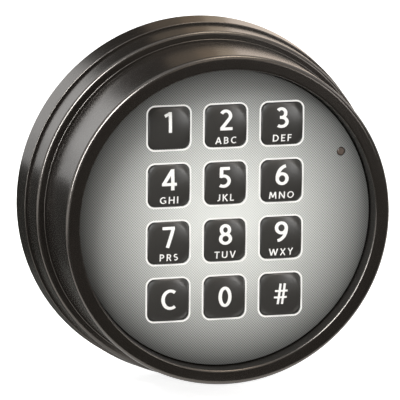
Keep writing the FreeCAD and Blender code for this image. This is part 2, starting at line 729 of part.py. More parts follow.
def retaining_ring():
    """Open ring in the hub's groove with two eared ends, which keeps the dial in the base."""
    front = RING_REAR + RING_T
    cut_rear = RING_REAR - OVERCUT
    cut_front = front + OVERCUT
    half = RING_SLIT_ANGLE / 2
    ear_circle_r = RING_OUT_R - RING_EAR_R + RING_EAR_STAND
    ears = [polar(ear_circle_r, RING_SLIT_TOP - half), polar(ear_circle_r, RING_SLIT_TOP + half)]
    ring = pin(RING_OUT_R, RING_REAR, front)
    for ear in ears:
        ring = ring.fuse(pin(RING_EAR_R, RING_REAR, front, ear))
    ring = ring.cut(pin(RING_IN_R, cut_rear, cut_front))
    gap_half = half - math.degrees(RING_EAR_R / ear_circle_r)
    wedge = [Vector(0, -cut_rear, 0)]
    for angle in (RING_SLIT_TOP - gap_half, RING_SLIT_TOP + gap_half):
        wedge.append(polar(2 * RING_OUT_R, angle, cut_rear))
    ring = ring.cut(Part.Face(Part.makePolygon(wedge + [wedge[0]])).extrude(FORWARD * (cut_front - cut_rear)))
    for ear in ears:
        ring = ring.cut(pin(RING_EAR_HOLE_R, cut_rear, cut_front, ear))
    return ring


def battery_x(side):
    """Middle of the left (-1) or right (+1) battery."""
    return side * (BATTERY_SPREAD + BATTERY_W) / 2


def upright_edges(shape, height):
    """Edges of a prism that run its whole height."""
    return [edge for edge in shape.Edges if edge.BoundBox.ZLength > height / 2]


def terminals(side, radius, foot_z, height):
    """Two upright round posts where a battery has its terminals."""
    posts = []
    for end in (-1, 1):
        foot = Vector(battery_x(side) + end * TERMINAL_PITCH / 2, -TRAY_FRONT - BATTERY_T / 2, foot_z)
        posts.append(Part.makeCylinder(radius, height, foot, Vector(0, 0, 1)))
    return posts


def battery(side):
    """Nine-volt block with its two snap terminals at the top."""
    middle_z = BATTERY_FOOT_Z + BATTERY_L / 2
    body = block(BATTERY_W, BATTERY_L, TRAY_FRONT, BATTERY_FRONT, battery_x(side), middle_z)
    body = body.makeFillet(BATTERY_EDGE_R, upright_edges(body, BATTERY_L))
    for post in terminals(side, TERMINAL_R, BATTERY_FOOT_Z + BATTERY_L, TERMINAL_H):
        body = body.fuse(post)
    return body


def battery_tray():
    """Tray with a fence round each battery and holes over the door's screws and the cable."""
    fence_front = TRAY_FRONT + TRAY_WALL_H
    cut_front = fence_front + OVERCUT
    tray = block(TRAY_W, TRAY_H, BACK_FRONT, fence_front, 0, TRAY_Z, TRAY_CORNER_R)
    for side in (-1, 1):
        tray = tray.cut(block(WELL_W, WELL_H, TRAY_FRONT, cut_front, battery_x(side), TRAY_Z))
    channel = BATTERY_SPREAD - 2 * BATTERY_GAP - 2 * TRAY_WALL_T
    tray = tray.cut(block(channel, WELL_H, TRAY_FRONT, cut_front, 0, TRAY_Z))
    for centre in mount_places():
        tray = tray.cut(pin(ACCESS_HOLE_R, BACK_FRONT - OVERCUT, cut_front, centre))
    return tray.cut(pin(CABLE_HOLE_R, BACK_FRONT - OVERCUT, cut_front, cable_place()))


def battery_snaps():
    """Two snap connectors, each pressed over the terminals of one battery."""
    low = BATTERY_FOOT_Z + BATTERY_L + SNAP_OFFSET
    rear = TRAY_FRONT + (BATTERY_T - SNAP_T) / 2
    pocket_depth = TERMINAL_H - SNAP_OFFSET + SNAP_POCKET_GAP + OVERCUT
    snaps = []
    for side in (-1, 1):
        snap = block(SNAP_W, SNAP_H, rear, rear + SNAP_T, battery_x(side), low + SNAP_H / 2)
        snap = snap.makeFillet(SNAP_CORNER_R, upright_edges(snap, SNAP_H))
        for post in terminals(side, TERMINAL_R + SNAP_POCKET_GAP, low - OVERCUT, pocket_depth):
            snap = snap.cut(post)
        snaps.append(snap)
    return Part.makeCompound(snaps)


def battery_leads():
    """Two short leads from each snap connector to the back of the board."""
    rear = TRAY_FRONT + (BATTERY_T + SNAP_T) / 2
    z = BATTERY_FOOT_Z + BATTERY_L + SNAP_OFFSET + SNAP_H / 2
    leads = []
    for side in (-1, 1):
        for end in (-1, 1):
            x = battery_x(side) + end * TERMINAL_PITCH / 2
            leads.append(pin(LEAD_R, rear, BOARD_BACK, Vector(x, 0, z)))
    return Part.makeCompound(leads)


def build():
    """Every piece of the lock's entry unit by node name."""
    pieces = {
        "base_ring": base_ring(),
        "hub_bush": hub_bush(),
        "wave_washer": wave_washer(),
        "stop_pin": stop_pin(),
        "dial_housing": dial_housing(),
        "faceplate": faceplate(),
        "key_mat": key_mat(),
        "circuit_board": circuit_board(),
        "board_screws": board_screws(),
        "status_lamp": status_lamp(),
        "controller_chip": controller_chip(),
        "buzzer": buzzer(),
        "capacitor": capacitor(),
        "cable_socket": cable_socket(),
        "dial_back": dial_back(),
        "housing_screws": housing_screws(),
        "drive_hub": drive_hub(),
        "hub_screws": hub_screws(),
        "retaining_ring": retaining_ring(),
        "battery_tray": battery_tray(),
        "battery_left": battery(-1),
        "battery_right": battery(1),
        "battery_snaps": battery_snaps(),
        "battery_leads": battery_leads(),
    }
    cap = key_cap()
    for name, place in key_places():
        pieces[name] = cap.translated(place)
    return pieces


os.makedirs("parts", exist_ok=True)
for node, shape in build().items():
    shape.exportStep("parts/" + node + ".step")
    print(node, len(shape.Solids), round(shape.Volume, 2), shape.isValid())
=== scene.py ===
"""Looks of the keypad unit of an electronic safe lock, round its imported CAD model.

Everything is in the model's own frame: +Y points into the door, the keypad looks towards -Y, +Z is up.
Sizes below are millimetres and become metres when a mesh is made. A depth is a distance in front of
the unit's back face, so a depth d lies at y = -d. Angles are counted as seen from the front.
"""

import json
import logging
import math
from dataclasses import dataclass, field
from enum import Enum
from typing import NamedTuple, Optional, Sequence

import bmesh
import bpy
import numpy as np
from mathutils import Matrix, Vector


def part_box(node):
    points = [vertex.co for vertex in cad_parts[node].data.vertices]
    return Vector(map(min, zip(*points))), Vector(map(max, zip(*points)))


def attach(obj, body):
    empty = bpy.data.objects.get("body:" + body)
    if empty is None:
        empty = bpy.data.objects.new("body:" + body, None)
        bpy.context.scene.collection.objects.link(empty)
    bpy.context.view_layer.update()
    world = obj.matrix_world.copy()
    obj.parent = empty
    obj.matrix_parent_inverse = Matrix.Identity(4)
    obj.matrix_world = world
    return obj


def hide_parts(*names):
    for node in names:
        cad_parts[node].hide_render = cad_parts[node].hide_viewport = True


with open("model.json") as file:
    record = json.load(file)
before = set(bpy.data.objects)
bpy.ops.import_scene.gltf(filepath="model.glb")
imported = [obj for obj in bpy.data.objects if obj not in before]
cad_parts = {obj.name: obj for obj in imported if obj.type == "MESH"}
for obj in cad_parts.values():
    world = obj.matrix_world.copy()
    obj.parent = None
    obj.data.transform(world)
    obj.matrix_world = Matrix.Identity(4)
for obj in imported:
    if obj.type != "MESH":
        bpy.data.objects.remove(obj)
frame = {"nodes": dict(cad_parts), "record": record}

log = logging.getLogger("keypad")

MM = 0.001
SHARP_ANGLE = math.radians(32.0)
MERGE_REACH = 1e-7
SLIVER_EDGE = 1e-8
ROUND_TURNS = 384

Triple = tuple[float, float, float]
Pair = tuple[float, float]
Colour = Triple
Piece = bpy.types.Object
Material = bpy.types.Material
Socket = bpy.types.NodeSocket


class Corner(NamedTuple):
    """One corner of a turned outline, with the radius of its rounding."""

    radius: float
    depth: float
    rounding: float = 0.0


class Body(Enum):
    """The bodies that the new pieces ride on."""

    BASE = "base"
    DIAL = "dial"


class Slot(Enum):
    """The record's material slots."""

    DARK_PLATING = "dark_plating"
    PANEL_PRINT = "panel_print"
    KEY_PLASTIC = "key_plastic"
    LAMP_LENS = "lamp_lens"
    MAT_RUBBER = "mat_rubber"
    BOARD_LAMINATE = "board_laminate"
    BLACK_PACKAGE = "black_package"
    CAPACITOR_SLEEVE = "capacitor_sleeve"
    SOCKET_NYLON = "socket_nylon"
    BACK_PLASTIC = "back_plastic"
    BATTERY_JACKET = "battery_jacket"
    LEAD_INSULATION = "lead_insulation"
    BEARING_BRASS = "bearing_brass"
    SPRING_STEEL = "spring_steel"
    SCREW_STEEL = "screw_steel"
    HUB_METAL = "hub_metal"


# Measures taken from the frame


def front_of(node: str) -> float:
    """Depth of a CAD node's foremost point."""
    return -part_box(node)[0].y / MM


def rear_of(node: str) -> float:
    """Depth of a CAD node's rearmost point."""
    return -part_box(node)[1].y / MM


def reach_of(node: str) -> float:
    """Radius of a round CAD node about the dial's axis."""
    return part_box(node)[1].x / MM


def centre_of(node: str) -> np.ndarray:
    """Middle of a CAD node across the front, as (x, z)."""
    low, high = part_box(node)
    return np.array([low.x + high.x, low.z + high.z]) / (2 * MM)


# Surfaces on a grid of two parameters


def grid_quads(rows: int, columns: int, rows_close: bool, columns_close: bool) -> np.ndarray:
    """Corner numbers of the quads between neighbouring grid points.

    Args:
        rows: points along the first parameter.
        columns: points along the second parameter.
        rows_close: whether the last row joins the first.
        columns_close: whether the last column joins the first.

    Returns:
        One row of four vertex numbers for each quad.
    """
    i = np.arange(rows if rows_close else rows - 1)[:, None]
    j = np.arange(columns if columns_close else columns - 1)[None, :]
    next_i = (i + 1) % rows
    next_j = (j + 1) % columns
    quads = [i * columns + j, next_i * columns + j, next_i * columns + next_j, i * columns + next_j]
    return np.stack(np.broadcast_arrays(*quads), axis=-1).reshape(-1, 4)


def signed_volume(points: np.ndarray, quads: np.ndarray) -> float:
    """Volume inside the quads: the sum of a . (b x c) / 6 over their triangles.

    Args:
        points: rows of (x, y, z).
        quads: rows of four point numbers.

    Returns:
        The volume, positive where the quads face outwards.
    """
    a, b, c, d = (points[quads[:, corner]] for corner in range(4))
    first = np.einsum("ij,ij->i", a, np.cross(b, c)).sum()
    second = np.einsum("ij,ij->i", a, np.cross(c, d)).sum()
    return float(first + second) / 6


class Surface(NamedTuple):
    """Points in millimetres and the quads between them."""

    points: np.ndarray
    quads: np.ndarray


def placed(x: np.ndarray, z: np.ndarray, depth: np.ndarray | float) -> np.ndarray:
    """Points (x, -depth, z), where one depth may serve them all."""
    return np.stack(np.broadcast_arrays(x, -depth, z), axis=-1)


def closed_grid(grid: np.ndarray, rows_close: bool, columns_close: bool) -> Surface:
    """Surface over a grid of points that closes on itself.

    Args:
        grid: rows by columns by three.
        rows_close: whether the last row joins the first.
        columns_close: whether the last column joins the first.

    Returns:
        The surface, facing outwards.
    """
    rows, columns, _ = grid.shape
    points = grid.reshape(-1, 3)
    quads = grid_quads(rows, columns, rows_close, columns_close)
    if signed_volume(points, quads) < 0:
        quads = quads[:, ::-1]
    return Surface(points, quads)


def solid_of_rings(rings: np.ndarray) -> Surface:
    """Closed surface over a stack of closed rings, whose ends shrink to the middles of the outer rings.

    Args:
        rings: rings by points by three.

    Returns:
        The surface, facing outwards.
    """
    first = np.repeat(rings[:1].mean(axis=1, keepdims=True), rings.shape[1], axis=1)
    last = np.repeat(rings[-1:].mean(axis=1, keepdims=True), rings.shape[1], axis=1)
    return closed_grid(np.concatenate([first, rings, last]), False, True)


def in_scene(name: str, data: bpy.types.ID) -> Piece:
    """A new object in the scene that shows the data."""
    piece = bpy.data.objects.new(name, data)
    bpy.context.scene.collection.objects.link(piece)
    return piece


def smooth(mesh: bpy.types.Mesh) -> None:
    """Shades a mesh smoothly up to its sharp edges."""
    mesh.polygons.foreach_set("use_smooth", np.ones(len(mesh.polygons), dtype=bool))
    mesh.set_sharp_from_angle(angle=SHARP_ANGLE)


def piece_of(name: str, surfaces: Sequence[Surface]) -> Piece:
    """One object at the origin from several closed surfaces, with its poles merged.

    Args:
        name: the piece's name.
        surfaces: its closed surfaces.

    Returns:
        The piece, in the scene.
    """
    starts = np.cumsum([0] + [len(surface.points) for surface in surfaces[:-1]])
    points = np.vstack([surface.points for surface in surfaces]) * MM
    quads = np.vstack([surface.quads + start for surface, start in zip(surfaces, starts)])
    mesh = bpy.data.meshes.new(name)
    mesh.from_pydata(points, [], quads)
    work = bmesh.new()
    work.from_mesh(mesh)
    bmesh.ops.remove_doubles(work, verts=work.verts, dist=MERGE_REACH)
    bmesh.ops.dissolve_degenerate(work, edges=work.edges, dist=SLIVER_EDGE)
    work.to_mesh(mesh)
    work.free()
    smooth(mesh)
    mesh.update()
    return in_scene(name, mesh)


def rounded_outline(corners: Sequence[Corner], steps: int = 8, margin: float = 0.1) -> np.ndarray:
    """Closed outline through the corners, each rounded by an arc that is tangent to both its sides.

    With unit directions a and b from the corner along its two sides and half the angle between them h,
    the arc's centre lies at the corner plus (a + b) scaled to the length rounding / sin h, and the arc
    turns evenly from one side's foot to the other's. One more point on each side, a margin away from
    the arc, keeps the shading of the flat stretch flat.

    Args:
        corners: the outline's corners in order.
        steps: pieces that an arc is divided into.
        margin: distance of the extra points from the arc's ends.

    Returns:
        Rows of (radius, depth).
    """
    places = np.array([(corner.radius, corner.depth) for corner in corners])
    runs = []
    for index, corner in enumerate(corners):
        place = places[index]
        back = places[index - 1] - place
        ahead = places[(index + 1) % len(corners)] - place
        back = back / np.linalg.norm(back)
        ahead = ahead / np.linalg.norm(ahead)
        if corner.rounding == 0:
            runs.append(place + np.array([back * margin / 2, back * 0, ahead * margin / 2]))
            continue
        half = math.acos(np.clip(back @ ahead, -1, 1)) / 2
        foot = corner.rounding / math.tan(half)
        middle = back + ahead
        centre = place + middle / np.linalg.norm(middle) * corner.rounding / math.sin(half)
        start = place + back * foot - centre
        end = place + ahead * foot - centre
        turn = math.pi - 2 * half
        share = np.linspace(0, 1, steps + 1)[:, None]
        arc = (np.sin((1 - share) * turn) * start + np.sin(share * turn) * end) / math.sin(turn)
        leads = [place + back * (foot + margin), place + ahead * (foot + margin)]
        runs.append(np.vstack([leads[0], centre + arc, leads[1]]))
    return np.vstack(runs)


def turned(outline: np.ndarray, turns: int = 256, centre: Sequence[float] = (0, 0)) -> Surface:
    """Closed outline turned about an axis along Y.

    A point (radius r, depth d) of the outline at angle t goes to (x0 + r cos t, -d, z0 + r sin t).

    Args:
        outline: closed outline as rows of (radius, depth).
        turns: points round the axis.
        centre: (x, z) of the axis.

    Returns:
        The turned surface.
    """
    angle = np.linspace(0, 2 * np.pi, turns, endpoint=False)
    radius = outline[:, :1]
    x = centre[0] + radius * np.cos(angle)
    z = centre[1] + radius * np.sin(angle)
    return closed_grid(placed(x, z, outline[:, 1:]), True, True)


def rounded_square(half: float, rounding: float, arc_steps: int = 10, side_steps: int = 8) -> np.ndarray:
    """Square with round corners, as points (x, z) anticlockwise.

    Each quarter is a straight stretch up one side and the corner's arc: the straight part runs evenly
    between the arcs, and an arc's point lies at the corner's centre plus rounding times (cos t, sin t).

    Args:
        half: half the square's side.
        rounding: radius of its corners.
        arc_steps: pieces of each corner's arc.
        side_steps: pieces of each straight side.

    Returns:
        Rows of (x, z), as many for every half and rounding.
    """
    inner = half - rounding
    side = np.linspace(-inner, inner, side_steps, endpoint=False)
    sweep = np.linspace(0, np.pi / 2, arc_steps, endpoint=False)
    straight = np.stack([np.full_like(side, half), side], axis=-1)
    arc = np.stack([inner + rounding * np.cos(sweep), inner + rounding * np.sin(sweep)], axis=-1)
    quarter = np.vstack([straight, arc])
    turns = [np.array([[c, s], [-s, c]]) for c, s in ((1, 0), (0, 1), (-1, 0), (0, -1))]
    return np.vstack([quarter @ turn for turn in turns])


def cut_away(piece: Piece, cutter: Piece) -> None:
    """Takes the cutter's volume out of the piece and deletes the cutter.

    Args:
        piece: what is cut.
        cutter: a closed piece.
    """
    step = piece.modifiers.new("cut", "BOOLEAN")
    step.operation = "DIFFERENCE"
    step.solver = "EXACT"
    step.object = cutter
    view = bpy.context.evaluated_depsgraph_get()
    mesh = bpy.data.meshes.new_from_object(piece.evaluated_get(view))
    piece.modifiers.clear()
    piece.data = mesh
    bpy.data.objects.remove(cutter)
    smooth(mesh)


# Finishes


class Shader:
    """A material's node tree, with short forms for adding nodes and linking them."""

    def __init__(self, name: str) -> None:
        """Starts a material with one output and one main shader.

        Args:
            name: the material's name.
        """
        self.material = bpy.data.materials.new(name)
        self.material.use_nodes = True
        self.tree = self.material.node_tree
        self.tree.nodes.clear()
        self.output = self.add("ShaderNodeOutputMaterial")
        self.main = self.add("ShaderNodeBsdfPrincipled")
        self.link(self.main.outputs["BSDF"], self.output.inputs["Surface"])
        self.place = self.add("ShaderNodeTexCoord").outputs["Object"]

    def add(self, kind: str) -> bpy.types.Node:
        """Adds a node."""
        return self.tree.nodes.new(kind)

    def link(self, source: Socket, target: Socket) -> None:
        """Joins two sockets."""
        self.tree.links.new(source, target)

    def plain(self, colour: Colour, **values: float | Colour) -> None:
        """Sets sockets of the main shader.

        Args:
            colour: its base colour.
            **values: numbers and colours by the socket's name, with _ for a space.
        """
        for name, value in {"Base_Color": colour, **values}.items():
            socket = self.main.inputs[name.replace("_", " ")]
            socket.default_value = (*value, 1) if isinstance(value, tuple) else value

    def maths(self, operation: str, *terms: Socket | float) -> Socket:
        """A sum, product or other function of sockets and numbers.

        Args:
            operation: what the node works out.
            *terms: sockets and numbers in order.

        Returns:
            The result's socket.
        """
        node = self.add("ShaderNodeMath")
        node.operation = operation
        for socket, term in zip(node.inputs, terms):
            if isinstance(term, Socket):
                self.link(term, socket)
            else:
                socket.default_value = term
        return node.outputs[0]

    def across(self) -> tuple[Socket, Socket]:
        """The place's x and z."""
        split = self.add("ShaderNodeSeparateXYZ")
        self.link(self.place, split.inputs["Vector"])
        return split.outputs["X"], split.outputs["Z"]

    def distance(self, x: Socket, z: Socket) -> Socket:
        """Square root of x^2 + z^2."""
        squares = self.maths("ADD", self.maths("MULTIPLY", x, x), self.maths("MULTIPLY", z, z))
        return self.maths("SQRT", squares)

    def crossed_waves(self, function: str, pitch: float) -> Socket:
        """Product of the function of kx and that of kz, with k = 2 pi / pitch, in metres."""
        wave = 2 * math.pi / pitch
        x, z = (self.maths(function, self.maths("MULTIPLY", part, wave)) for part in self.across())
        return self.maths("MULTIPLY", x, z)

    def noise(self, scale: float, detail: float, place: Optional[Socket] = None) -> Socket:
        """Noise, from 0 to 1.

        Args:
            scale: its cells a metre.
            detail: how many finer noises are added.
            place: what it reads, the object's own place if nothing is given.

        Returns:
            The noise's socket.
        """
        node = self.add("ShaderNodeTexNoise")
        node.inputs["Scale"].default_value = scale
        node.inputs["Detail"].default_value = detail
        self.link(place or self.place, node.inputs["Vector"])
        return node.outputs["Fac"]

    def spread(self, factor: Socket, low: float, high: float) -> Socket:
        """The factor's range 0 to 1 mapped to low to high.

        Args:
            factor: a socket from 0 to 1.
            low: result at 0.
            high: result at 1.

        Returns:
            The result's socket.
        """
        node = self.add("ShaderNodeMapRange")
        self.link(factor, node.inputs["Value"])
        node.inputs["To Min"].default_value = low
        node.inputs["To Max"].default_value = high
        return node.outputs["Result"]

    def tones(self, factor: Socket, colour: Colour, shares: Pair, stops: Pair = (0.3, 0.7)) -> None:
        """Runs the main colour from one share of a colour to another.

        Args:
            factor: what the tone follows.
            colour: the colour that is shaded.
            shares: its dark and its light share.
            stops: the factors at which these are reached.
        """
        node = self.add("ShaderNodeValToRGB")
        for element, share, stop in zip(node.color_ramp.elements, shares, stops):
            element.position = stop
            element.color = (*(part * share for part in colour), 1)
        self.link(factor, node.inputs["Fac"])
        self.link(node.outputs["Color"], self.main.inputs["Base Color"])

    def gloss(self, factor: Socket, low: float, high: float) -> None:
        """Runs the main shader's roughness from low to high with the factor."""
        self.link(self.spread(factor, low, high), self.main.inputs["Roughness"])

    def bump(self, height: Socket, depth: float, strength: float) -> None:
        """Raises the surface by the height times a depth.

        Args:
            height: a socket from 0 to 1.
            depth: what a height of 1 stands for, in metres.
            strength: share of the relief that shows.
        """
        node = self.add("ShaderNodeBump")
        node.inputs["Strength"].default_value = strength
        node.inputs["Distance"].default_value = depth
        self.link(height, node.inputs["Height"])
        self.link(node.outputs["Normal"], self.main.inputs["Normal"])


@dataclass(frozen=True)
class SatinPlating:
    """Dark plated casting: a thin, slightly brown coat over fine blasting, with faint cloudy patches."""

    colour: Colour = (0.0058, 0.0050, 0.0043)
    tint: Colour = (1.0, 0.92, 0.84)
    coat_ior: float = 1.75
    roughness: float = 0.24
    gloss_variation: float = 0.01
    clouds: float = 90.0
    cloud_detail: float = 4.0
    cloud_shares: Pair = (0.85, 1.2)
    grain: float = 5200.0
    grain_detail: float = 1.0
    grain_depth: float = 0.000004
    grain_strength: float = 0.012

    def material(self, name: str) -> Material:
        """Builds the finish.

        Args:
            name: the material's name.

        Returns:
            The material.
        """
        shader = Shader(name)
        shader.plain(self.colour, IOR=self.coat_ior, Specular_Tint=self.tint)
        shader.tones(shader.noise(self.clouds, self.cloud_detail), self.colour, self.cloud_shares)
        grain = shader.noise(self.grain, self.grain_detail)
        shader.gloss(grain, self.roughness - self.gloss_variation, self.roughness + self.gloss_variation)
        shader.bump(grain, self.grain_depth, self.grain_strength)
        return shader.material


@dataclass(frozen=True)
class PrintedPanel:
    """Round panel print: silver fading to dark at the rim through a fine diagonal screen of dots.

    With r the distance from the fade's middle, the brightness is 1 - (r / fade_radius) ^ fade_power,
    times one plus a contrast times cos kx cos kz, whose peaks are dots in diagonal rows a pitch apart.
    The contrast grows with (r / fade_radius) ^ contrast_power.
    """

    silver: Colour = (0.715, 0.735, 0.71)
    middle: Pair = (1.0, 0.0)
    fade_radius: float = 44.5
    fade_power: float = 1.5
    darkest: float = 0.03
    ground: float = 0.009
    dot_pitch: float = 0.52
    contrast: float = 0.6
    contrast_power: float = 0.6
    roughness: float = 0.55
    ior: float = 1.35
    grain: float = 2600.0
    grain_detail: float = 1.0
    grain_depth: float = 0.000004
    grain_strength: float = 0.2

    def material(self, name: str) -> Material:
        """Builds the print.

        Args:
            name: the material's name.

        Returns:
            The material.
        """
        shader = Shader(name)
        shader.plain(self.silver, Roughness=self.roughness, IOR=self.ior)
        x, z = shader.across()
        off = shader.maths("SUBTRACT", x, self.middle[0] * MM)
        rise = shader.maths("SUBTRACT", z, self.middle[1] * MM)
        share = shader.maths("DIVIDE", shader.distance(off, rise), self.fade_radius * MM)
        fade = shader.maths("SUBTRACT", 1.0, shader.maths("POWER", share, self.fade_power))
        fade = shader.maths("MAXIMUM", fade, self.darkest)
        dots = shader.crossed_waves("COSINE", self.dot_pitch * math.sqrt(2) * MM)
        dots = shader.maths("MULTIPLY", dots, self.contrast)
        dots = shader.maths("MULTIPLY", dots, shader.maths("POWER", share, self.contrast_power))
        shade = shader.maths("MULTIPLY", fade, shader.maths("ADD", dots, 1.0))
        shader.tones(shade, self.silver, (self.ground, 1.0), (0.0, 1.0))
        shader.bump(shader.noise(self.grain, self.grain_detail), self.grain_depth, self.grain_strength)
        return shader.material


@dataclass(frozen=True)
class Moulded:
    """Moulded plastic or rubber with a fine grain in its colour, gloss and surface."""

    colour: Colour
    roughness: float
    ior: float = 1.45
    variation: float = 0.12
    gloss_variation: float = 0.06
    grain: float = 3000.0
    grain_detail: float = 2.0
    grain_depth: float = 0.00001
    grain_strength: float = 0.3

    def material(self, name: str) -> Material:
        """Builds the finish.

        Args:
            name: the material's name.

        Returns:
            The material.
        """
        shader = Shader(name)
        shader.plain(self.colour, IOR=self.ior)
        grain = shader.noise(self.grain, self.grain_detail)
        shader.tones(grain, self.colour, (1 - self.variation, 1 + self.variation))
        shader.gloss(grain, self.roughness - self.gloss_variation, self.roughness + self.gloss_variation)
        shader.bump(grain, self.grain_depth, self.grain_strength)
        return shader.material


@dataclass(frozen=True)
class TurnedMetal:
    """Metal with fine turning marks round the dial's axis: noise along the radius alone."""

    colour: Colour
    roughness: float = 0.32
    smoother: float = 0.08
    rougher: float = 0.12
    marks: float = 9000.0
    mark_detail: float = 2.0
    mark_shares: Pair = (0.85, 1.0)
    mark_depth: float = 0.00001
    mark_strength: float = 0.25

    def material(self, name: str) -> Material:
        """Builds the finish.

        Args:
            name: the material's name.

        Returns:
            The material.
        """
        shader = Shader(name)
        shader.plain(self.colour, Metallic=1.0)
        join = shader.add("ShaderNodeCombineXYZ")
        shader.link(shader.distance(*shader.across()), join.inputs["X"])
        marks = shader.noise(self.marks, self.mark_detail, join.outputs["Vector"])
        shader.tones(marks, self.colour, self.mark_shares)
        shader.gloss(marks, self.roughness - self.smoother, self.roughness + self.rougher)
        shader.bump(marks, self.mark_depth, self.mark_strength)
        return shader.material


@dataclass(frozen=True)
class Laminate:
    """Circuit board: green lacquer over a woven ground, the weave as two crossed waves."""

    colour: Colour = (0.02, 0.14, 0.06)
    roughness: float = 0.28
    ior: float = 1.5
    weave_pitch: float = 0.6
    weave_range: Pair = (0.35, 0.65)
    weave_shares: Pair = (0.8, 1.3)
    weave_stops: Pair = (0.2, 0.8)
    weave_depth: float = 0.00001
    weave_strength: float = 0.3

    def material(self, name: str) -> Material:
        """Builds the finish.

        Args:
            name: the material's name.

        Returns:
            The material.
        """
        shader = Shader(name)
        shader.plain(self.colour, Roughness=self.roughness, IOR=self.ior)
        weave = shader.spread(shader.crossed_waves("SINE", self.weave_pitch * MM), *self.weave_range)
        shader.tones(weave, self.colour, self.weave_shares, self.weave_stops)
        shader.bump(weave, self.weave_depth, self.weave_strength)
        return shader.material


Finish = SatinPlating | PrintedPanel | Moulded | TurnedMetal | Laminate

WHITE_INK = Moulded((0.87, 0.87, 0.85), 0.55, variation=0.02, grain=4000.0, grain_depth=0.000002)

FINISHES: dict[Slot, Finish] = {
    Slot.DARK_PLATING: SatinPlating(),
    Slot.PANEL_PRINT: PrintedPanel(),
    Slot.KEY_PLASTIC: Moulded((0.028, 0.0268, 0.0240), 0.32, ior=1.75, variation=0.08,
                              gloss_variation=0.015, grain_depth=0.000001),
    Slot.LAMP_LENS: Moulded((0.088, 0.064, 0.050), 0.30, ior=1.5, variation=0.25, grain=900.0,
                            grain_depth=0.000004),
    Slot.MAT_RUBBER: Moulded((0.12, 0.12, 0.13), 0.8),
    Slot.BOARD_LAMINATE: Laminate(),
    Slot.BLACK_PACKAGE: Moulded((0.022, 0.022, 0.024), 0.55),
    Slot.CAPACITOR_SLEEVE: Moulded((0.03, 0.05, 0.13), 0.25, grain=1200.0),
    Slot.SOCKET_NYLON: Moulded((0.70, 0.68, 0.60), 0.5),
    Slot.BACK_PLASTIC: Moulded((0.020, 0.020, 0.021), 0.6, grain=1800.0, grain_depth=0.00002),
    Slot.BATTERY_JACKET: Moulded((0.06, 0.065, 0.075), 0.35, grain=1500.0),
    Slot.LEAD_INSULATION: Moulded((0.33, 0.02, 0.02), 0.45),
    Slot.BEARING_BRASS: TurnedMetal((0.56, 0.40, 0.17)),
    Slot.SPRING_STEEL: TurnedMetal((0.42, 0.42, 0.43), 0.28),
    Slot.SCREW_STEEL: TurnedMetal((0.52, 0.52, 0.53), 0.25, marks=14000.0),
    Slot.HUB_METAL: TurnedMetal((0.50, 0.50, 0.51), 0.36),
}


class Wardrobe:
    """Makes each finish once and puts it on pieces."""

    def __init__(self) -> None:
        """Starts with no material made."""
        self.made: dict[str, Material] = {}

    def material(self, name: str, finish: Finish) -> Material:
        """The material of a finish, made when it is first asked for.

        Args:
            name: the material's name.
            finish: what it is made from.

        Returns:
            The material.
        """
        if name not in self.made:
            self.made[name] = finish.material(name)
        return self.made[name]

    def dress(self, piece: Piece, slot: Slot) -> None:
        """Gives a new piece the finish of its slot."""
        piece.data.materials.clear()
        piece.data.materials.append(self.material(slot.value, FINISHES[slot]))

    def ink(self, piece: Piece) -> None:
        """Gives a printed piece the white ink."""
        piece.data.materials.clear()
        piece.data.materials.append(self.material("white_ink", WHITE_INK))

    def dress_nodes(self) -> None:
        """Gives every CAD node the finish of the slot that the record names for it."""
        for part in frame["record"]["subparts"]:
            node = frame["nodes"][part["node"]]
            material = self.material(part["material_slot"], FINISHES[Slot(part["material_slot"])])
            if not node.material_slots:
                node.data.materials.append(material)
            for place in node.material_slots:
                place.material = material
            log.info("node %s: %s", part["node"], part["material_slot"])


# Sub-assemblies


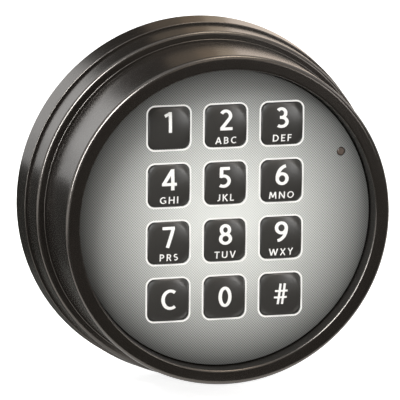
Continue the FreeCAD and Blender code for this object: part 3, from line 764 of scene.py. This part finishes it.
@dataclass
class BaseRing:
    """Cast ring with its back plate: flange, second band, round lip, screw holes and ribbed back."""

    wardrobe: Wardrobe
    flange_draft: float = 0.6
    flange_depth: float = 8.0
    flange_rounding: float = 0.3
    rim_rounding: float = 0.3
    band_step: float = 1.35
    band_draft: float = 0.45
    band_rounding: float = 1.0
    dial_gap: float = 0.4
    lip_rounding: float = 0.25
    plate: float = 3.2
    bush_radius: float = 13.25
    bush_gap: float = 0.02
    ring_recess_radius: float = 14.25
    ring_recess_depth: float = 1.4
    screw_spacing: float = 41.3
    screw_hole_radius: float = 2.25
    screw_head_radius: float = 4.2
    screw_sink: float = 1.95
    relief_depth: float = 1.2
    relief_in: float = 27.0
    relief_rim: float = 1.4
    rib_width: float = 3.0
    rib_count: int = 16
    over: float = 1.0
    hole_turns: int = 64
    pocket_rows: int = 12
    pocket_columns: int = 25

    def build(self) -> None:
        """Turns the ring, cuts its holes and the pockets between its ribs, and dresses it."""
        outer = reach_of("base_ring")
        lip = reach_of("dial_housing") + self.dial_gap
        band = outer - self.band_step
        front = front_of("base_ring")
        bore = self.bush_radius + self.bush_gap
        outline = rounded_outline([
            Corner(bore, self.ring_recess_depth),
            Corner(self.ring_recess_radius, self.ring_recess_depth),
            Corner(self.ring_recess_radius, 0),
            Corner(outer, 0, self.rim_rounding),
            Corner(outer - self.flange_draft, self.flange_depth, self.flange_rounding),
            Corner(band, self.flange_depth),
            Corner(band - self.band_draft, front, self.band_rounding),
            Corner(lip, front, self.lip_rounding),
            Corner(lip, self.plate, self.band_rounding),
            Corner(bore, self.plate),
        ])
        ring = piece_of("ring", [turned(outline, ROUND_TURNS)])
        cutters = [*self.screw_cutters(), *self.pocket_cutters(lip - self.relief_rim)]
        cut_away(ring, piece_of("ring_cutter", cutters))
        self.wardrobe.dress(ring, Slot.DARK_PLATING)
        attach(ring, Body.BASE.value)
        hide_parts("base_ring")

    def screw_cutters(self) -> list[Surface]:
        """Countersunk holes: a shank, then a cone that opens to the head at the plate's front.

        Returns:
            One closed cutter for each hole.
        """
        outline = np.array([
            (0.0, -self.over),
            (self.screw_hole_radius, -self.over),
            (self.screw_hole_radius, self.plate - self.screw_sink),
            (self.screw_head_radius, self.plate),
            (self.screw_head_radius, self.plate + self.over),
            (0.0, self.plate + self.over),
        ])
        half = self.screw_spacing / 2
        return [turned(outline, self.hole_turns, (side * half, 0)) for side in (-1, 1)]

    def pocket_cutters(self, relief_out: float) -> list[Surface]:
        """Pockets between the back's ribs.

        At radius r and side s from -1 to 1, a point's angle off the pocket's middle line is s times
        (half the ribs' spacing minus asin(half the rib / r)), so the sides run parallel to the ribs.

        Args:
            relief_out: the pockets' outer radius.

        Returns:
            One closed cutter for each pocket.
        """
        radius = np.linspace(self.relief_in, relief_out, self.pocket_rows)
        side = np.linspace(-1, 1, self.pocket_columns)
        half = np.pi / self.rib_count - np.arcsin(self.rib_width / 2 / radius)
        off = side[:, None] * half
        edge = np.concatenate([
            np.stack([radius, off[0]], axis=-1),
            np.stack([np.full_like(side, radius[-1]), off[:, -1]], axis=-1)[1:-1],
            np.stack([radius, off[-1]], axis=-1)[::-1],
            np.stack([np.full_like(side, radius[0]), off[:, 0]], axis=-1)[::-1][1:-1],
        ])
        cutters = []
        for index in range(self.rib_count):
            angle = edge[:, 1] + 2 * np.pi * index / self.rib_count
            x = edge[:, 0] * np.cos(angle)
            z = edge[:, 0] * np.sin(angle)
            rings = [placed(x, z, depth) for depth in (-self.over, self.relief_depth)]
            cutters.append(solid_of_rings(np.array(rings)))
        return cutters


@dataclass
class DialHousing:
    """Turned housing of the dial: drafted wall, rounded bezel, panel recess, ledge and screw bosses."""

    wardrobe: Wardrobe
    wall: float = 2.7
    draft: float = 0.45
    rim_rounding: float = 0.3
    bezel_rounding: float = 1.25
    bezel_slope: float = 0.04
    bezel_in_rounding: float = 0.7
    collar: float = 0.62
    collar_lift: float = 0.15
    collar_height: float = 0.45
    collar_rounding: float = 0.2
    recess_draft: float = 0.3
    panel_gap: float = 0.2
    seat: float = 2.0
    ledge: float = 2.8
    boss_radius: float = 3.2
    boss_lap: float = 0.5
    boss_count: int = 4
    boss_hole: float = 1.33
    boss_turns: int = 48
    arc_steps: int = 12

    def build(self) -> None:
        """Turns the shell, adds its bosses and dresses it."""
        outer = reach_of("dial_housing")
        front = front_of("dial_housing")
        rear = rear_of("dial_housing")
        panel = reach_of("faceplate")
        panel_back = rear_of("faceplate")
        bore = outer - self.wall
        opening = panel - self.seat
        collar_back = front_of("base_ring") + self.collar_lift
        outline = rounded_outline([
            Corner(bore, rear),
            Corner(outer, rear, self.rim_rounding),
            Corner(outer, collar_back),
            Corner(outer + self.collar, collar_back),
            Corner(outer + self.collar, collar_back + self.collar_height, self.collar_rounding),
            Corner(outer, collar_back + self.collar_height),
            Corner(outer - self.draft, front - self.bezel_slope, self.bezel_rounding),
            Corner(panel + self.panel_gap + self.recess_draft, front, self.bezel_in_rounding),
            Corner(panel + self.panel_gap, panel_back),
            Corner(opening, panel_back),
            Corner(opening, panel_back - self.ledge),
            Corner(bore, panel_back - self.ledge),
        ], self.arc_steps)
        shell = piece_of("housing", [
            turned(outline, ROUND_TURNS),
            *self.bosses(bore, panel_back - self.ledge),
        ])
        self.wardrobe.dress(shell, Slot.DARK_PLATING)
        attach(shell, Body.DIAL.value)
        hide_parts("dial_housing")

    def bosses(self, bore: float, front: float) -> list[Surface]:
        """Hollow posts down the inside of the wall, one for each screw of the back plate.

        Args:
            bore: radius of the wall's inside.
            front: depth of the posts' front ends.

        Returns:
            One closed surface for each post.
        """
        rear = front_of("dial_back")
        circle = bore - self.boss_radius + self.boss_lap
        outline = np.array([
            (self.boss_hole, rear),
            (self.boss_radius, rear),
            (self.boss_radius, front),
            (self.boss_hole, front),
        ])
        angles = 2 * np.pi * np.arange(self.boss_count) / self.boss_count
        centres = circle * np.stack([np.cos(angles), np.sin(angles)], axis=-1)
        return [turned(outline, self.boss_turns, centre) for centre in centres]


RUN_POINTS = 9
BOW_STEP = 6.0
STEM_X = 0.10


class Run(NamedTuple):
    """A straight run of a sign's stroke, in shares of the sign's height."""

    x0: float
    z0: float
    x1: float
    z1: float

    def path(self) -> np.ndarray:
        """Points evenly along the run."""
        return np.linspace((self.x0, self.z0), (self.x1, self.z1), RUN_POINTS)


class Bow(NamedTuple):
    """An arc of an ellipse in a sign's stroke: (x + rx cos t, z + rz sin t), t in degrees."""

    x: float
    z: float
    rx: float
    rz: float
    start: float
    end: float

    def path(self) -> np.ndarray:
        """Points evenly along the arc's angle."""
        turn = np.radians(np.linspace(self.start, self.end, 2 + int(abs(self.end - self.start) / BOW_STEP)))
        return np.stack([self.x + self.rx * np.cos(turn), self.z + self.rz * np.sin(turn)], axis=-1)


Stroke = tuple[Run | Bow, ...]


class Sign(NamedTuple):
    """A printed sign: its width, its strokes, each a chain of runs and bows, and how bold it is."""

    width: float
    strokes: tuple[Stroke, ...]
    boldness: float = 1.0


def line(x0: float, z0: float, x1: float, z1: float) -> Stroke:
    """A stroke of one run."""
    return (Run(x0, z0, x1, z1),)


def arc(x: float, z: float, rx: float, rz: float, start: float, end: float) -> Stroke:
    """A stroke of one bow."""
    return (Bow(x, z, rx, rz, start, end),)


def bowl(top: float, bottom: float, shoulder: float, bulge: float, start: float = STEM_X) -> Stroke:
    """A stroke that leaves a letter's stem, turns back round half an ellipse and ends on the stem.

    Args:
        top: height at which it leaves.
        bottom: height at which it comes back.
        shoulder: x at which the turn starts and ends.
        bulge: how far it turns beyond the shoulder.
        start: x of its first point.

    Returns:
        The stroke.
    """
    turn = Bow(shoulder, (top + bottom) / 2, bulge, (top - bottom) / 2, 90, -90)
    return (Run(start, top, shoulder, top), turn, Run(shoulder, bottom, STEM_X, bottom))


SIGNS = {
    "0": Sign(0.67, (arc(0.335, 0.5, 0.238, 0.422, 0, 360),)),
    "1": Sign(0.564, (line(0.31, 0, 0.31, 0.98), line(0.045, 0.79, 0.31, 0.92)), 0.92),
    "2": Sign(0.64, ((Bow(0.295, 0.70, 0.225, 0.222, 152, -35), Run(0.479, 0.573, 0.09, 0.10)),
                     line(0.02, 0.078, 0.62, 0.078))),
    "3": Sign(0.62, (arc(0.255, 0.717, 0.205, 0.205, 142, -82), arc(0.255, 0.293, 0.265, 0.215, 84, -132),
                     line(0.17, 0.511, 0.29, 0.511))),
    "4": Sign(0.72, (line(0.52, 0, 0.52, 1), line(0.50, 0.94, 0.07, 0.29), line(0, 0.285, 0.72, 0.285))),
    "5": Sign(0.74, (line(0.10, 0.922, 0.57, 0.922), line(0.165, 0.93, 0.145, 0.49),
                     arc(0.245, 0.325, 0.277, 0.247, 122, -128))),
    "6": Sign(0.67, (arc(0.335, 0.315, 0.238, 0.237, 0, 360), arc(0.60, 0.33, 0.5025, 0.595, 98, 180))),
    "7": Sign(0.62, (line(0, 0.922, 0.60, 0.922), line(0.53, 0.93, 0.225, 0))),
    "8": Sign(0.67, (arc(0.335, 0.722, 0.195, 0.20, 0, 360), arc(0.335, 0.293, 0.238, 0.215, 0, 360))),
    "9": Sign(0.67, (arc(0.335, 0.685, 0.238, 0.237, 0, 360), arc(0.07, 0.67, 0.5025, 0.595, -82, 0))),
    "C": Sign(0.76, (arc(0.46, 0.5, 0.362, 0.422, 52, 308),)),
    "#": Sign(0.68, (line(0.19, 0, 0.33, 1), line(0.40, 0, 0.54, 1), line(0.05, 0.65, 0.68, 0.65),
                     line(0, 0.34, 0.63, 0.34)), 0.66),
}

STEM = line(STEM_X, 0, STEM_X, 1)

LETTERS = {
    "A": Sign(0.82, (line(0.07, 0, 0.41, 0.98), line(0.75, 0, 0.41, 0.98), line(0.20, 0.31, 0.62, 0.31))),
    "B": Sign(0.64, (STEM, bowl(0.91, 0.51, 0.30, 0.20), bowl(0.51, 0.09, 0.31, 0.23, 0.28))),
    "C": Sign(0.78, (arc(0.47, 0.5, 0.37, 0.41, 50, 310),)),
    "D": Sign(0.80, (STEM, bowl(0.91, 0.09, 0.32, 0.38))),
    "E": Sign(0.58, (STEM, line(STEM_X, 0.91, 0.57, 0.91), line(STEM_X, 0.51, 0.52, 0.51),
                     line(STEM_X, 0.09, 0.57, 0.09))),
    "F": Sign(0.56, (STEM, line(STEM_X, 0.91, 0.55, 0.91), line(STEM_X, 0.50, 0.50, 0.50))),
    "G": Sign(0.86, (arc(0.47, 0.5, 0.37, 0.41, 50, 296), line(0.76, 0.11, 0.76, 0.50),
                     line(0.52, 0.44, 0.76, 0.44))),
    "H": Sign(0.82, (STEM, line(0.72, 0, 0.72, 1), line(STEM_X, 0.51, 0.72, 0.51))),
    "I": Sign(0.20, (STEM,)),
    "J": Sign(0.44, ((Run(0.34, 1, 0.34, 0.29), Bow(0.14, 0.29, 0.20, 0.20, 0, -105)),)),
    "K": Sign(0.70, (STEM, line(0.62, 1, 0.17, 0.50), line(0.25, 0.58, 0.66, 0))),
    "L": Sign(0.56, (STEM, line(STEM_X, 0.09, 0.56, 0.09))),
    "M": Sign(0.98, (line(0.08, 0, 0.17, 1), line(0.19, 0.97, 0.49, 0.20), line(0.79, 0.97, 0.49, 0.20),
                     line(0.90, 0, 0.81, 1))),
    "N": Sign(0.84, (STEM, line(0.12, 0.95, 0.72, 0.05), line(0.74, 0, 0.74, 1))),
    "O": Sign(0.92, (arc(0.46, 0.5, 0.37, 0.41, 0, 360),)),
    "P": Sign(0.62, (STEM, bowl(0.91, 0.45, 0.30, 0.22))),
    "R": Sign(0.66, (STEM, bowl(0.91, 0.47, 0.30, 0.22), line(0.30, 0.50, 0.61, 0))),
    "S": Sign(0.58, ((Bow(0.29, 0.71, 0.20, 0.20, 42, 270), Bow(0.29, 0.30, 0.21, 0.21, 90, -138)),)),
    "T": Sign(0.68, (line(0.34, 0, 0.34, 1), line(0, 0.91, 0.68, 0.91))),
    "U": Sign(0.78, ((Run(STEM_X, 1, STEM_X, 0.37), Bow(0.39, 0.37, 0.29, 0.28, 180, 360),
                      Run(0.68, 0.37, 0.68, 1)),)),
    "V": Sign(0.80, (line(0.07, 1, 0.40, 0.02), line(0.73, 1, 0.40, 0.02))),
    "W": Sign(1.18, (line(0.07, 1, 0.33, 0.02), line(0.59, 0.96, 0.33, 0.02), line(0.59, 0.96, 0.85, 0.02),
                     line(1.11, 1, 0.85, 0.02))),
    "X": Sign(0.74, (line(0.07, 0, 0.66, 1), line(0.67, 0, 0.08, 1))),
    "Y": Sign(0.72, (line(0.06, 1, 0.36, 0.48), line(0.66, 1, 0.36, 0.48), line(0.36, 0.52, 0.36, 0))),
}


@dataclass
class KeyLegend:
    """What is printed on one key: a large sign above a row of small letters, or raised as if it had some."""

    sign: str
    letters: str = ""
    raised: bool = False


@dataclass
class Keypad:
    """Twelve pillow keys with their printed signs and the white outlines round them."""

    wardrobe: Wardrobe
    side: float = 11.6
    corner: float = 2.0
    crown_radius: float = 28.0
    shoulder_start: float = 5.3
    shoulder: float = 0.10
    crown_shares: Pair = (0.04, 0.98)
    crown_rings: int = 32
    edge_rounding: float = 0.3
    edge_rings: int = 9
    least_corner: float = 0.15
    wall_lead: float = 0.05
    flange_rim: float = 0.8
    flange_thickness: float = 0.8
    core_half: float = 3.5
    core_corner: float = 1.0
    core_depth: float = 1.4
    post_radius: float = 2.4
    outline_width: float = 0.46
    outline_gap: float = 0.28
    outline_corner: float = 2.45
    outline_steps: int = 16
    ink: float = 0.03
    ink_lift: float = 0.012
    sign_height: float = 5.8
    sign_rise: float = 1.75
    lone_rise: float = 0.2
    thin: float = 0.071
    thick: float = 0.085
    slope_power: float = 1.5
    least_step: float = 1e-3
    letter_height: float = 2.0
    letter_drop: float = 3.96
    letter_stretch: float = 1.08
    letter_boldness: float = 1.04
    letter_gap: float = 0.60
    legends: dict[str, KeyLegend] = field(default_factory=lambda: {
        "key_1": KeyLegend("1", raised=True),
        "key_2": KeyLegend("2", "ABC"),
        "key_3": KeyLegend("3", "DEF"),
        "key_4": KeyLegend("4", "GHI"),
        "key_5": KeyLegend("5", "JKL"),
        "key_6": KeyLegend("6", "MNO"),
        "key_7": KeyLegend("7", "PRS"),
        "key_8": KeyLegend("8", "TUV"),
        "key_9": KeyLegend("9", "WXY"),
        "key_clear": KeyLegend("C"),
        "key_0": KeyLegend("0"),
        "key_enter": KeyLegend("#"),
    })

    def build(self) -> None:
        """Builds every key with its outline and print."""
        for node, legend in self.legends.items():
            centre = centre_of(node)
            self.build_cap(node, centre)
            self.build_outline(node, centre)
            self.build_print(node, legend, centre)
            log.info("key %s: %s %s", node, legend.sign, legend.letters)

    def crown(self, spots: np.ndarray) -> np.ndarray:
        """How far the crown has dropped at some spots, r away from the key's middle.

        The drop is R - sqrt(R^2 - r^2), and beyond the shoulder's start s it grows by k (r - s)^2.

        Args:
            spots: rows of (x, z) from the key's middle.

        Returns:
            The drop of each.
        """
        radius = np.hypot(*spots.T)
        sphere = self.crown_radius - np.sqrt(self.crown_radius ** 2 - radius ** 2)
        return sphere + self.shoulder * np.maximum(radius - self.shoulder_start, 0) ** 2

    def ring(self, half: float, corner: float, inset: float = 0.0) -> np.ndarray:
        """The rounded square of that half side, drawn in by an inset."""
        return rounded_square(half - inset, max(corner - inset, self.least_corner))

    def build_cap(self, node: str, centre: np.ndarray) -> None:
        """The cap: crown from its middle to the rounded edge, wall, flange, and the hollow with its post.

        The crown's rings are the edge's ring scaled by the shares from first to last. Round the edge, at
        angle t, a ring is drawn in by rounding * (1 - sin t) and lowered by rounding * (1 - cos t).

        Args:
            node: the key's CAD node.
            centre: (x, z) of its middle.
        """
        top = front_of(node)
        rear = rear_of(node)
        flange_front = rear + self.flange_thickness
        half = self.side / 2
        rim = self.ring(half, self.corner, self.edge_rounding)
        wall = self.ring(half, self.corner)
        flange = self.ring(half + self.flange_rim, self.corner + self.flange_rim)
        core = self.ring(self.core_half, self.core_corner)
        post = self.ring(self.post_radius, self.post_radius)
        spots = [rim * share for share in np.linspace(*self.crown_shares, self.crown_rings)]
        rows = [(spot, top - self.crown(spot)) for spot in spots]
        for turn in np.linspace(0, np.pi / 2, self.edge_rings):
            spot = self.ring(half, self.corner, self.edge_rounding * (1 - math.sin(turn)))
            rows.append((spot, top - self.crown(rim) - self.edge_rounding * (1 - math.cos(turn))))
        rows += [
            (wall, flange_front + self.wall_lead),
            (wall, flange_front),
            (flange, flange_front),
            (flange, rear),
            (core, rear),
            (core, rear + self.core_depth),
            (post, rear + self.core_depth),
            (post, rear),
        ]
        rings = [placed(*(spot + centre).T, depth) for spot, depth in rows]
        cap = piece_of(node + "_pillow", [solid_of_rings(np.array(rings))])
        self.wardrobe.dress(cap, Slot.KEY_PLASTIC)
        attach(cap, node + "_cap")
        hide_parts(node)

    def build_outline(self, node: str, centre: np.ndarray) -> None:
        """White line printed on the panel round a key: a flat strip carried along a rounded square.

        Args:
            node: the key's CAD node.
            centre: (x, z) of its middle.
        """
        low = front_of("faceplate") - self.ink
        high = front_of("faceplate") + self.ink_lift
        inner = self.side / 2 + self.outline_gap / 2
        outer = inner + self.outline_width
        rows = []
        for half, depth in ((inner, low), (inner, high), (outer, high), (outer, low)):
            spot = rounded_square(half, self.outline_corner - (outer - half), self.outline_steps)
            rows.append(placed(*(spot + centre).T, depth))
        strip = piece_of(node + "_outline", [closed_grid(np.array(rows), True, True)])
        self.wardrobe.ink(strip)
        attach(strip, Body.DIAL.value)

    def build_print(self, node: str, legend: KeyLegend, centre: np.ndarray) -> None:
        """Prints the sign, and the letters where the key has them.

        Args:
            node: the key's CAD node.
            legend: what is printed on it.
            centre: (x, z) of its middle.
        """
        signs = [SIGNS[legend.sign]]
        height = self.sign_height
        rise = self.sign_rise if legend.raised or legend.letters else self.lone_rise
        strokes = self.row_of(signs, (height, height), height, rise)
        self.put_ink(node + "_sign", node, centre, strokes)
        if legend.letters:
            signs = [LETTERS[letter] for letter in legend.letters]
            height = self.letter_height
            size = (height * self.letter_stretch, height)
            strokes = self.row_of(signs, size, height * self.letter_boldness, -self.letter_drop)
            self.put_ink(node + "_letters", node, centre, strokes)

    def row_of(self, signs: Sequence[Sign], size: Pair, weight: float, rise: float) -> list[np.ndarray]:
        """The strokes of a row of signs, a gap apart, whose middle is that much above the key's.

        Args:
            signs: the signs from left to right.
            size: millimetres that stand for a sign's unit across and its unit up.
            weight: factor on the pen's width, in millimetres.
            rise: height of the row's middle above the key's.

        Returns:
            What pen gives for each stroke.
        """
        wide, high = size
        start = -(sum(sign.width for sign in signs) * wide + self.letter_gap * (len(signs) - 1)) / 2
        strokes = []
        for sign in signs:
            strokes += self.pen(sign, size, weight, (start, rise - high / 2))
            start += sign.width * wide + self.letter_gap
        return strokes

    def pen(self, sign: Sign, size: Pair, weight: float, place: Pair) -> list[np.ndarray]:
        """Outlines of a sign's strokes, each as the left and the right edge of the pen along its path.

        The pen's half width goes from thin to thick with the size of the path's slope, as a broad pen's
        line does, and its edges are the path plus or minus the half width across it.

        Args:
            sign: the sign.
            size: millimetres that stand for its unit across and its unit up.
            weight: factor on the pen's width, in millimetres.
            place: (x, z) of its lower left corner from the key's middle.

        Returns:
            For each stroke an array, two edges by points by two. A path that closes ends on its first point.
        """
        edges = []
        for stroke in sign.strokes:
            path = np.vstack([part.path() for part in stroke]) * np.array(size)
            path = path[np.r_[True, np.linalg.norm(np.diff(path, axis=0), axis=1) > self.least_step]]
            if np.allclose(path[0], path[-1]):
                along = np.roll(path[:-1], -1, axis=0) - np.roll(path[:-1], 1, axis=0)
                along = np.vstack([along, along[:1]])
            else:
                along = np.gradient(path, axis=0)
            along /= np.linalg.norm(along, axis=1, keepdims=True)
            across = np.stack([-along[:, 1], along[:, 0]], axis=-1)
            half = self.thin + (self.thick - self.thin) * np.abs(along[:, 1]) ** self.slope_power
            reach = across * (half * sign.boldness * weight)[:, None]
            edges.append(np.stack([path + reach, path - reach]) + np.array(place))
        return edges

    def put_ink(self, name: str, node: str, centre: np.ndarray, strokes: Sequence[np.ndarray]) -> None:
        """One inked piece that moves with its key: a band on the crown between each stroke's two edges.

        Args:
            name: the piece's name.
            node: the key's CAD node.
            centre: (x, z) of its middle.
            strokes: what pen gives.
        """
        top = front_of(node)
        high = self.ink_lift
        low = -self.ink
        bands = []
        for left, right in strokes:
            closes = np.allclose(left[0], left[-1])
            rings = []
            for edge, lift in ((left, high), (left, low), (right, low), (right, high)):
                spots = edge[:-1] if closes else edge
                rings.append(placed(*(spots + centre).T, top - self.crown(spots) + lift))
            rings = np.stack(rings, axis=1)
            bands.append(closed_grid(rings, True, True) if closes else solid_of_rings(rings))
        piece = piece_of(name, bands)
        self.wardrobe.ink(piece)
        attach(piece, node + "_cap")


# Studio


class Lamp(NamedTuple):
    """A square lamp, seen from the unit in a direction (x, y, z)."""

    name: str
    direction: Triple
    distance: float
    size: float
    radiance: float
    colour: Colour = (1.0, 1.0, 1.0)


class Card(NamedTuple):
    """A rectangle by one corner and its two sides, with the radiance that it shows."""

    name: str
    corner: Triple
    side: Triple
    other: Triple
    radiance: Colour


LAMPS = (
    Lamp("upper_left_lamp", (-0.60, -0.42, 0.68), 900, 200, 42.0),
    Lamp("top_lamp", (0.26, -0.20, 0.945), 800, 300, 8.0, (1.0, 0.86, 0.70)),
    Lamp("right_lamp", (0.90, 0.0, 0.44), 800, 260, 2.5),
    Lamp("front_lamp", (0.51, -0.849, 0.139), 430, 105, 5.4),
    Lamp("back_lamp", (-0.30, 0.886, 0.36), 900, 500, 0.5),
)


@dataclass
class Studio:
    """Camera, lamps, floor and backdrop."""

    azimuth: float = math.radians(-15.21)
    elevation: float = math.radians(11.64)
    roll: float = math.radians(0.42)
    distance: float = 1200.0
    aim: Triple = (-7.11, -34.2, 5.40)
    lens: float = 394.3
    sensor: float = 36.0
    sight: float = 20000.0
    diffuse_sky: float = 0.45
    floor_half: float = 2500.0
    floor_gap: float = 0.1
    floor_points: int = 9
    floor_white: float = 0.9
    floor_roughness: float = 0.8
    floor_lift: float = 0.55
    floor_lift_seen: float = 0.85

    def build(self) -> None:
        """Sets up the view, the light and the floor."""
        self.place_camera()
        self.light_world()
        for lamp in LAMPS:
            self.hang_lamp(lamp)
        for card in self.cards():
            self.hang_card(card)
        self.lay_floor()
        bpy.context.scene.view_settings.view_transform = "Standard"

    def place_camera(self) -> None:
        """Camera on a sphere round its aim, rolled about its own axis."""
        a, e = self.azimuth, self.elevation
        back = Vector((math.sin(a) * math.cos(e), -math.cos(a) * math.cos(e), math.sin(e)))
        right = Vector((math.cos(a), math.sin(a), 0))
        up = back.cross(right)
        rolled_right = right * math.cos(self.roll) + up * math.sin(self.roll)
        rolled_up = up * math.cos(self.roll) - right * math.sin(self.roll)
        lens = bpy.data.cameras.new("camera")
        lens.lens = self.lens
        lens.sensor_width = self.sensor
        lens.sensor_fit = "HORIZONTAL"
        lens.clip_end = self.sight * MM
        camera = in_scene("camera", lens)
        turn = Matrix((rolled_right, rolled_up, back)).transposed().to_4x4()
        place = (Vector(self.aim) + back * self.distance) * MM
        camera.matrix_world = Matrix.Translation(place) @ turn
        bpy.context.scene.camera = camera

    def light_world(self) -> None:
        """White where the camera, gloss or glass sees it, softer where it only lights."""
        world = bpy.data.worlds.new("studio")
        world.use_nodes = True
        tree = world.node_tree
        tree.nodes.clear()
        output = tree.nodes.new("ShaderNodeOutputWorld")
        background = tree.nodes.new("ShaderNodeBackground")
        path = tree.nodes.new("ShaderNodeLightPath")
        seen = path.outputs["Is Camera Ray"]
        for ray in ("Is Glossy Ray", "Is Transmission Ray"):
            either = tree.nodes.new("ShaderNodeMath")
            either.operation = "MAXIMUM"
            tree.links.new(seen, either.inputs[0])
            tree.links.new(path.outputs[ray], either.inputs[1])
            seen = either.outputs[0]
        strength = tree.nodes.new("ShaderNodeMapRange")
        tree.links.new(seen, strength.inputs["Value"])
        strength.inputs["To Min"].default_value = self.diffuse_sky
        strength.inputs["To Max"].default_value = 1.0
        tree.links.new(strength.outputs["Result"], background.inputs["Strength"])
        background.inputs["Color"].default_value = (1, 1, 1, 1)
        tree.links.new(background.outputs["Background"], output.inputs["Surface"])
        bpy.context.scene.world = world

    def hang_lamp(self, lamp: Lamp) -> None:
        """Hangs a lamp that looks at the unit: its power is radiance times pi times its area.

        Args:
            lamp: where it hangs, and how large and bright it is.
        """
        light = bpy.data.lights.new(lamp.name, "AREA")
        light.color = lamp.colour
        light.size = lamp.size * MM
        light.energy = lamp.radiance * math.pi * light.size ** 2
        holder = in_scene(lamp.name, light)
        towards = Vector(lamp.direction).normalized()
        holder.location = towards * lamp.distance * MM
        holder.rotation_euler = towards.to_track_quat("Z", "Y").to_euler()

    def cards(self) -> list[Card]:
        """Cards that only gloss sees: a dark room in front, and dark and warm parts round the unit.

        Returns:
            The cards, the lowest of them level with the floor.
        """
        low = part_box("base_ring")[0].z / MM
        return [
            Card("room_flag", (-1500, -1400, low), (3000, 0, 0), (0, 0, 1500), (0.10, 0.09, 0.08)),
            Card("front_floor_flag", (-200, -50, low + 1), (1700, 0, 0), (0, -1350, 0), (0.12, 0.11, 0.10)),
            Card("left_flag", (-400, 80, low), (380, 0, 0), (0, 0, 8 - low), (0.06, 0.06, 0.055)),
            Card("back_floor_flag", (-400, 80, low + 1), (390, 0, 0), (0, -90, 0), (0.14, 0.14, 0.13)),
            Card("right_flag", (1500, -1400, low), (0, 1400, 0), (0, 0, 900), (0.14, 0.12, 0.10)),
            Card("top_left_flag", (-52, 80, 50), (44, 0, 0), (0, 0, 240), (0.05, 0.045, 0.04)),
            Card("top_flag", (-8, 80, 60), (22, 0, 0), (0, 0, 240), (0.27, 0.22, 0.17)),
            Card("top_middle_flag", (14, 80, 55), (13, 0, 0), (0, 0, 240), (0.43, 0.33, 0.24)),
            Card("top_right_flag", (27, 80, 50), (11, 0, 0), (0, 0, 240), (0.82, 0.67, 0.51)),
            Card("warm_card", (38, 80, 25), (110, 0, 0), (0, 0, 240), (1.5, 1.28, 1.1)),
            Card("upper_card", (0, -1300, 400), (1090, 0, 0), (0, 0, 900), (1.6, 1.45, 1.3)),
            Card("edge_strip", (-1000, -380, 180), (560, 31, 537), (120, -100, -130), (33, 34, 35)),
        ]

    def hang_card(self, card: Card) -> None:
        """Hangs a card that casts no shadow and shows an even radiance.

        Args:
            card: its place and radiance.
        """
        place, first, second = (Vector(part) * MM for part in (card.corner, card.side, card.other))
        mesh = bpy.data.meshes.new(card.name)
        mesh.from_pydata([place, place + first, place + first + second, place + second], [], [(0, 1, 2, 3)])
        sheet = in_scene(card.name, mesh)
        sheet.visible_camera = False
        sheet.visible_diffuse = False
        sheet.visible_shadow = False
        sheet.visible_transmission = False
        shader = Shader(card.name)
        shader.plain((0, 0, 0), Roughness=1.0, Specular_IOR_Level=0.0, Emission_Strength=1.0,
                     Emission_Color=card.radiance)
        mesh.materials.append(shader.material)

    def lay_floor(self) -> None:
        """Pale floor under the flange, lit to white, with the unit's soft shadow on it."""
        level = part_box("base_ring")[0].z / MM - self.floor_gap
        edge = np.linspace(-self.floor_half, self.floor_half, self.floor_points)
        x, y = np.meshgrid(edge, edge, indexing="ij")
        points = np.stack([x, y, np.full_like(x, level)], axis=-1).reshape(-1, 3) * MM
        mesh = bpy.data.meshes.new("floor")
        mesh.from_pydata(points, [], grid_quads(len(edge), len(edge), False, False))
        floor = in_scene("floor", mesh)
        shader = Shader("floor")
        shader.plain((self.floor_white,) * 3, Roughness=self.floor_roughness, Emission_Color=(1, 1, 1))
        rays = shader.add("ShaderNodeLightPath").outputs
        seen = shader.maths("MULTIPLY", rays["Is Camera Ray"], self.floor_lift_seen)
        mirrored = shader.maths("MULTIPLY", rays["Is Glossy Ray"], self.floor_lift)
        shader.link(shader.maths("ADD", seen, mirrored), shader.main.inputs["Emission Strength"])
        mesh.materials.append(shader.material)


def main() -> None:
    """Builds the sub-assemblies in order and reports each."""
    logging.basicConfig(level=logging.INFO, format="%(name)s %(message)s")
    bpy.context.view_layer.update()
    wardrobe = Wardrobe()
    wardrobe.dress_nodes()
    BaseRing(wardrobe).build()
    log.info("base ring built")
    DialHousing(wardrobe).build()
    log.info("dial housing built")
    Keypad(wardrobe).build()
    log.info("keypad built")
    Studio().build()
    log.info("studio built")


if __name__ == "__main__":
    main()
